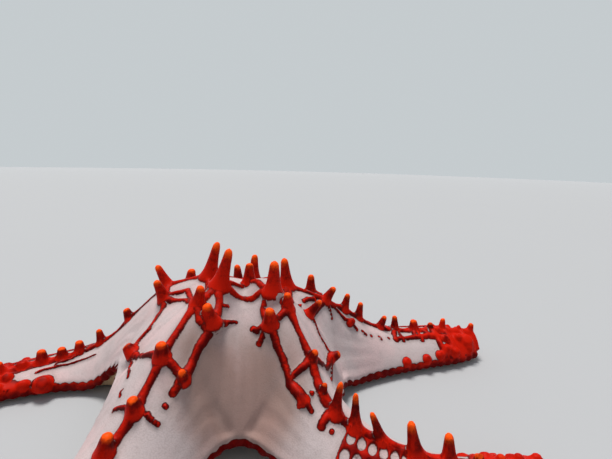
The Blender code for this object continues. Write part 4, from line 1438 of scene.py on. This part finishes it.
def skin_material():
    """Grey granular skin with painted shade round the red and in brownish clouds, red ridges and spines
    in painted light and shade with orange tips partly painted as highlights, and a tan underside.

    How deep a point lies in the red is in millimetres.
    """
    colours = skin_settings()
    finish = Finish("sea_star_skin", Specular_IOR_Level=0.05)
    ragged = (finish.noise(RAGGED_GRAIN) - 0.5) * RAGGED
    depth = finish.attribute("red_depth")
    edge = depth + (ragged + (finish.noise(FRAYED_GRAIN) - 0.5) * FRAYED)
    red = finish.step(edge, -0.10, 0.16)
    patches = finish.step(finish.noise(PATCH_GRAIN), 0.38, 0.66)
    grey = finish.mix(patches, rgba(colours.grey), rgba(colours.pink))
    grains = finish.cells(PORE_GRAIN)
    pores = finish.step(grains, 0.42, 0.85)
    mottle = finish.step(finish.noise(MOTTLE_GRAIN, 5.0), 0.45, 0.75)
    grey = finish.mix(pores * PORES + mottle * MOTTLE, grey, rgba(colours.shadow_grey))
    # Painted shade: brownish clouds low between the front arms, partly a browner tone of the skin
    shade_cloud = finish.noise(SHADE_CLOUD_GRAIN, 4.0) * 0.5 + finish.attribute("shade")
    grey = finish.mix(finish.step(shade_cloud, 0.45, 1.15) * SHADE_CLOUDY, grey, rgba(colours.brown_shade))
    # Painted shade on the grey round the red ridges and spines
    shade_round_red = finish.step(depth + finish.noise(SPECK_GRAIN), -1.2, 0.6)
    grey = finish.mix(shade_round_red * SHADE_ROUND_RED, grey, rgba(colours.shadow_grey))
    # The red runs from maroon in painted shade to scarlet in painted light, broken by darker patches at
    # random
    blotches = (finish.noise(BLOTCH_GRAIN, 2.0) - 0.5) * BLOTCHES
    bright = finish.step(finish.attribute("painted_light") + blotches, 0.05, 0.85)
    scarlet = finish.mix(bright, rgba(colours.maroon_shade_and_patches), rgba(colours.red))
    # The orange tips: partly the spines' own colour, partly a painted highlight
    specks = (finish.noise(SPECK_GRAIN) - 0.5) * 0.2
    orange_tip_highlight = finish.step(finish.attribute("lit_spine_level") + specks, 0.66, 0.96)
    scarlet = finish.mix(orange_tip_highlight, scarlet, rgba(colours.orange))
    # A dark rim of painted shade where the red meets the skin
    rim = finish.step(edge, 0.42, 0.10)
    scarlet = finish.mix(rim * RIM_SHADE_STRENGTH, scarlet, rgba(colours.outline))
    upper = finish.mix(red, grey, scarlet)
    colour = finish.mix(finish.attribute("underside"), upper, rgba(colours.under))
    relief = (1.0 - grains) * (1.0 - red * 0.7) + finish.noise(RELIEF_GRAIN, 4.0) * 0.8
    normal = finish.bump(relief, 0.00010, 0.45)
    roughness = 0.62 - red * 0.16 - orange_tip_highlight * 0.06
    return finish.wear(Base_Color=colour, Roughness=roughness, Normal=normal)


# How many neighbours among the marks are asked, and the lowest level of the skin
SPINE_NEIGHBOURS = 4
RIDGE_NEIGHBOURS = 8
SKIN_LEVEL = 0.0001


class SEASTAR_OT_skin(bpy.types.Operator):
    """Fuses the arms, spines, ridges and margin plates into one skin"""
    bl_idname = "seastar.skin"
    bl_label = "Skin, spines and ridges"

    def execute(self, context):
        settings = skin_settings()
        spine_marks = Marks(SPINE_NEIGHBOURS)
        ridge_marks = Marks(RIDGE_NEIGHBOURS)
        pieces = [arm_body(arm) for arm in ARMS]
        pieces += spines(spine_marks)
        pieces.append(ridges(ridge_marks))
        pieces += margin_plates()
        body = join(pieces, "sea_star_skin")
        voxel = settings.voxel
        apply_modifier(body, "REMESH", {"mode": "VOXEL", "voxel_size": voxel})
        smooth(body, settings.smoothing)
        soften_corners(body)
        raise_net(body)
        apply_modifier(body, "TRIANGULATE", {})
        count = len(body.data.polygons)
        if count > settings.most_faces:
            apply_modifier(body, "DECIMATE", {"ratio": settings.most_faces / count})
        keep_above(body, SKIN_LEVEL)
        paint(body, spine_marks, ridge_marks)
        body.data.update()
        covered = [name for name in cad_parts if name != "sieve_plate"]
        dress(body, skin_material(), covered)
        return {"FINISHED"}


# The underside's tube feet and spinelets

FOOT_PROFILE = ((0.0, 0.55), (0.015, 1.35), (0.05, 1.55), (0.10, 1.35), (0.16, 0.95), (0.35, 0.80),
                (0.60, 0.88), (0.80, 1.0), (1.0, 0.9))
FOOT_SIDES = 8
# Where the feet begin, how far from the arm's end they stop, how far out their rows hang from the
# groove's roof, and where their ends may come to rest. A pair is the least and the most.
FEET_FROM = 0.10
FEET_END = 0.05
FOOT_SPREAD = 0.42
FOOT_ROOT = 0.98
FOOT_OUT = (0.5, 1.25)
FOOT_LIFT = (-0.018, 0.012)
FOOT_ALONG = (-0.012, 0.012)
FOOT_SHRINK = 0.45
FOOT_SEED = 5
SIZES = (0.9, 1.1)
# Where feet and spinelets get smaller, and the level of their ends
SHRINK_RUN = (0.6, 0.95)
OFF_FLOOR = 0.002
FEET_LEVEL = 0.00005


def shrunk(station, most):
    """The size of a foot or spinelet, which gets smaller towards the tip of the arm."""
    return 1.0 - most * float(ease(*SHRINK_RUN, station))


def tube_feet_of(arm, template, sway):
    """Two rows of feet that hang from the groove's roof and spread a little on the floor."""
    settings = bpy.context.scene.star_feet
    pitch = settings.pitch / REACH
    made = []
    for number, station in enumerate(np.arange(FEET_FROM, ARMS[arm].length - FEET_END, pitch * 0.5)):
        side = 1 if number % 2 else -1
        station = float(station)
        half = float(groove_half(arm, station))
        roof = float(belly_height(station) + groove_depth(arm, station))
        shrink = shrunk(station, FOOT_SHRINK)
        radius = settings.radius * shrink * sway.uniform(*SIZES)
        top = Vector(to_frame(arm, station, side * FOOT_SPREAD * half, roof * FOOT_ROOT))
        out = side * half * sway.uniform(*FOOT_OUT)
        lift = max(0.0, sway.uniform(*FOOT_LIFT)) * shrink
        end = Vector(to_frame(arm, station + sway.uniform(*FOOT_ALONG), out, lift + OFF_FLOOR))
        made.append(copy_of(template, direction_matrix(end, top - end, radius, (top - end).length)))
    return made


def along_arms(name, profile, sides, seed, copies_of):
    """Copies a turned shape along every arm and joins the copies into one piece."""
    sway = random.Random(seed)
    template = turned(name + "_shape", profile, sides)
    made = []
    for arm in ARMS:
        made += copies_of(arm, template, sway)
    remove(template)
    joined = join(made, name)
    keep_above(joined, FEET_LEVEL)
    return joined


def flesh_material():
    colours = bpy.context.scene.star_feet
    finish = Finish("tube_feet", Roughness=0.38, Subsurface_Weight=0.15, Subsurface_Scale=0.001)
    patches = finish.step(finish.noise(0.0012), 0.35, 0.7)
    colour = finish.mix(patches, rgba(colours.flesh), rgba(colours.sucker))
    rings = finish.noise(0.0004, 2.0)
    return finish.wear(Base_Color=colour, Normal=finish.bump(rings, 0.0001, 0.5))


class SEASTAR_OT_tube_feet(bpy.types.Operator):
    """Adds the rows of tube feet with their suckers"""
    bl_idname = "seastar.tube_feet"
    bl_label = "Tube feet"

    def execute(self, context):
        feet = along_arms("tube_feet", FOOT_PROFILE, FOOT_SIDES, FOOT_SEED, tube_feet_of)
        dress(feet, flesh_material())
        return {"FINISHED"}


SPINELET_PROFILE = ((0.0, 1.0), (0.45, 1.1), (0.82, 0.85), (1.0, 0.35))
SPINELET_SIDES = 6
SPINELET_SEED = 23
SPINELET_RADIUS = 0.00036
# The rows of spinelets: how far out each is as a share of the groove's half width, how much it leans
# outwards and its size
SPINELET_ROWS = ((0.98, -0.55, 0.9), (1.30, 0.10, 0.75), (1.62, 0.55, 0.55))
SPINELETS_FROM = 0.11
SPINELETS_END = 0.03
SPINELET_ALONG = (-0.1, 0.1)
SPINELET_LENGTHS = (0.85, 1.1)
SPINELET_SHRINK = 0.4
SPINELET_SUNK = 0.2
OUTERMOST = 0.9


def spinelets_of(arm, template, sway):
    """Rows of blunt spinelets along both edges of the groove, leaning over it and away from it."""
    settings = bpy.context.scene.star_feet
    pitch = settings.spine_pitch / REACH
    made = []
    for side in (1, -1):
        for spread, tilt, size in SPINELET_ROWS:
            for station in np.arange(SPINELETS_FROM, ARMS[arm].length - SPINELETS_END, pitch):
                station = float(station) + sway.uniform(*SPINELET_ALONG) * pitch
                half = float(groove_half(arm, station))
                length = settings.spine_length / REACH * size * sway.uniform(*SPINELET_LENGTHS)
                length *= shrunk(station, SPINELET_SHRINK)
                sunk = SPINELET_SUNK * length
                width = float(half_width(arm, side, station))
                share = min(spread * half / width, OUTERMOST)
                level = float(under_height(arm, station, side * share)) + sunk
                foot = Vector(to_frame(arm, station, side * share * width, level))
                drop = min(length, float(belly_height(station)) + sunk - OFF_FLOOR)
                out = side * (share * width + tilt * length)
                run = Vector(to_frame(arm, station, out, level - drop)) - foot
                radius = SPINELET_RADIUS * size * sway.uniform(*SIZES)
                made.append(copy_of(template, direction_matrix(foot, run, radius, run.length)))
    return made


def spinelet_material():
    colours = bpy.context.scene.star_feet
    finish = Finish("spinelets", Roughness=0.55)
    patches = finish.step(finish.noise(0.003), 0.35, 0.65)
    colour = finish.mix(patches, rgba(colours.spinelet), rgba(colours.sucker))
    return finish.wear(Base_Color=colour, Normal=finish.bump(finish.noise(0.0005), 0.0001, 0.5))


class SEASTAR_OT_spinelets(bpy.types.Operator):
    """Adds the spinelets along the grooves"""
    bl_idname = "seastar.spinelets"
    bl_label = "Groove spinelets"

    def execute(self, context):
        rows = along_arms("groove_spinelets", SPINELET_PROFILE, SPINELET_SIDES, SPINELET_SEED,
                          spinelets_of)
        dress(rows, spinelet_material())
        return {"FINISHED"}


# The sieve plate

# The dome's size in metres, how far its root reaches down for its rise, and its furrows: where they
# fade in and where each becomes two, as shares of its radius, and how they sway
SIEVE_RADIUS = 0.0036
SIEVE_RISE = 0.0011
SIEVE_ROOT = 1.2
SIEVE_RINGS = 14
SIEVE_SIDES = 132
FURROWS_COME = (0.12, 0.3)
FORKS_FROM = 0.62
FURROW_SWAY = 5.0
FURROW_BENDS = 2.3
ROOT_LEVEL = 0.01


def sieve_material():
    colours = bpy.context.scene.star_sieve
    finish = Finish("sieve_plate", Roughness=0.6)
    furrow = finish.step(finish.attribute("furrow"), 0.35, 0.8)
    colour = finish.mix(furrow, rgba(colours.pale), rgba(colours.furrow))
    return finish.wear(Base_Color=colour, Normal=finish.bump(finish.noise(0.0004), 0.00008, 0.5))


class SEASTAR_OT_sieve_plate(bpy.types.Operator):
    """Adds the domed sieve plate with its branching furrows"""
    bl_idname = "seastar.sieve_plate"
    bl_label = "Sieve plate"

    def execute(self, context):
        settings = context.scene.star_sieve
        profile = [(-SIEVE_ROOT, 1.0), (0.0, 1.0)]
        for ring in range(1, SIEVE_RINGS):
            angle = 0.5 * math.pi * ring / SIEVE_RINGS
            profile.append((math.sin(angle), math.cos(angle)))
        plate = turned("sieve_plate_dome", profile, SIEVE_SIDES)
        points = coordinates(plate)
        radius = np.hypot(points[:, 0], points[:, 1])
        angle = np.arctan2(points[:, 1], points[:, 0])
        sway = np.array([noise.noise(Vector((*point[:2], 0.0)) * FURROW_BENDS) for point in points])
        branches = np.where(radius > FORKS_FROM, settings.furrows * 2, settings.furrows)
        wave = 0.5 + 0.5 * np.cos(branches * angle + FURROW_SWAY * sway)
        furrow = wave * ease(*FURROWS_COME, radius) * (points[:, 2] > ROOT_LEVEL)
        points[:, :2] *= SIEVE_RADIUS
        points[:, 2] = points[:, 2] * SIEVE_RISE - furrow * settings.depth
        set_coordinates(plate, points)
        low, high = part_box("sieve_plate")
        middle = (low + high) / 2.0
        outward = Vector((middle.x - CENTRE.x, middle.y - CENTRE.y, 0.0)).normalized()
        step = outward * SIEVE_RADIUS
        around = np.array([middle + step, middle - step])
        fall = float(np.subtract(*height_over(around))) / (2.0 * SIEVE_RADIUS)
        normal = Vector((-outward.x * fall, -outward.y * fall, 1.0)).normalized()
        foot = Vector((middle.x, middle.y, float(height_over(np.array([middle]))[0])))
        plate.data.transform(direction_matrix(foot, normal, 1.0, 1.0))
        set_attribute(plate, "furrow", furrow)
        dress(plate, sieve_material(), ["sieve_plate"])
        return {"FINISHED"}


# The stage

BACKDROP_RADIUS = 3.0
BACKDROP_HEIGHT = 1.6
BACKDROP_SIDES = 96
FLOOR_GRAIN = 0.25
FLOOR_PATCHES = 0.12
FLOOR_DARKER = 0.9
SKY_COLOUR = (0.92, 0.96, 1.0)
SUN_COLOUR = (1.0, 0.97, 0.92)
SUN_ANGLE = math.radians(22.0)
SUN_FROM = (-0.15, 0.25, 1.0)
SENSOR_WIDTH = 36.0
CLIP_START = 0.005


class SEASTAR_OT_stage(bpy.types.Operator):
    """Adds the floor, the lights and the camera"""
    bl_idname = "seastar.stage"
    bl_label = "Stage"

    def execute(self, context):
        settings = context.scene.star_stage
        deselect()
        bpy.ops.mesh.primitive_plane_add(size=2.0 * BACKDROP_RADIUS, location=(0.0, 0.0, 0.0))
        floor = context.object
        floor.name = "floor"
        finish = Finish("floor", Roughness=0.85)
        darker = [FLOOR_DARKER * value for value in settings.floor]
        patches = finish.noise(FLOOR_GRAIN) * FLOOR_PATCHES
        colour = finish.mix(patches, rgba(settings.floor), rgba(darker))
        floor.data.materials.append(finish.wear(Base_Color=colour))
        deselect()
        bpy.ops.mesh.primitive_cylinder_add(
            vertices=BACKDROP_SIDES, radius=BACKDROP_RADIUS, depth=BACKDROP_HEIGHT,
            end_fill_type="NOTHING", location=(0.0, 0.0, 0.5 * BACKDROP_HEIGHT))
        backdrop = context.object
        backdrop.name = "backdrop"
        backdrop.visible_shadow = False
        bpy.ops.object.shade_smooth()
        finish = Finish("backdrop", Roughness=1.0, Specular_IOR_Level=0.0, Emission_Strength=1.0,
                        Base_Color=(0.0, 0.0, 0.0, 1.0), Emission_Color=rgba(settings.backdrop))
        backdrop.data.materials.append(finish.material)
        world = context.scene.world or bpy.data.worlds.new("studio")
        context.scene.world = world
        world.use_nodes = True
        background = world.node_tree.nodes["Background"]
        background.inputs["Color"].default_value = rgba(SKY_COLOUR)
        background.inputs["Strength"].default_value = settings.fill_power
        sun = bpy.data.lights.new("key", "SUN")
        sun.energy = settings.key_power
        sun.angle = SUN_ANGLE
        sun.color = SUN_COLOUR
        key = bpy.data.objects.new("key", sun)
        key.rotation_euler = Vector(SUN_FROM).to_track_quat("Z", "Y").to_euler()
        context.scene.collection.objects.link(key)
        camera = bpy.data.cameras.new("camera")
        camera.lens = settings.lens
        camera.sensor_width = SENSOR_WIDTH
        camera.clip_start = CLIP_START
        eye = bpy.data.objects.new("camera", camera)
        look = Matrix.Rotation(math.radians(90.0) - settings.pitch, 4, "X")
        turn = Matrix.Rotation(settings.roll, 4, "Z")
        eye.matrix_world = Matrix.Translation(Vector(settings.eye) + CENTRE) @ look @ turn
        context.scene.collection.objects.link(eye)
        context.scene.camera = eye
        context.scene.view_settings.view_transform = "Standard"
        return {"FINISHED"}


class VIEW3D_PT_sea_star(bpy.types.Panel):
    bl_label = "Sea Star"
    bl_space_type = "VIEW_3D"
    bl_region_type = "UI"
    bl_category = "Sea Star"

    def draw(self, context):
        for group, operators in PANEL_ROWS:
            box = self.layout.box()
            settings = getattr(context.scene, group)
            for name in settings.bl_rna.properties.keys():
                if name not in ("rna_type", "name"):
                    box.prop(settings, name)
            for operator in operators:
                box.operator(operator)


GROUPS = {
    "star_skin": StarSkin,
    "star_feet": StarFeet,
    "star_sieve": StarSieve,
    "star_stage": StarStage,
}
PANEL_ROWS = (
    ("star_skin", ("seastar.skin",)),
    ("star_feet", ("seastar.tube_feet", "seastar.spinelets")),
    ("star_sieve", ("seastar.sieve_plate",)),
    ("star_stage", ("seastar.stage",)),
)
CLASSES = (*GROUPS.values(), SEASTAR_OT_skin, SEASTAR_OT_tube_feet, SEASTAR_OT_spinelets,
           SEASTAR_OT_sieve_plate, SEASTAR_OT_stage, VIEW3D_PT_sea_star)


def register():
    for item in CLASSES:
        bpy.utils.register_class(item)
    for name, group in GROUPS.items():
        setattr(bpy.types.Scene, name, PointerProperty(type=group))


def unregister():
    for name in GROUPS:
        delattr(bpy.types.Scene, name)
    for item in reversed(CLASSES):
        bpy.utils.unregister_class(item)


def main():
    register()
    bpy.ops.seastar.skin()
    bpy.ops.seastar.tube_feet()
    bpy.ops.seastar.spinelets()
    bpy.ops.seastar.sieve_plate()
    bpy.ops.seastar.stage()


if __name__ == "__main__":
    main()
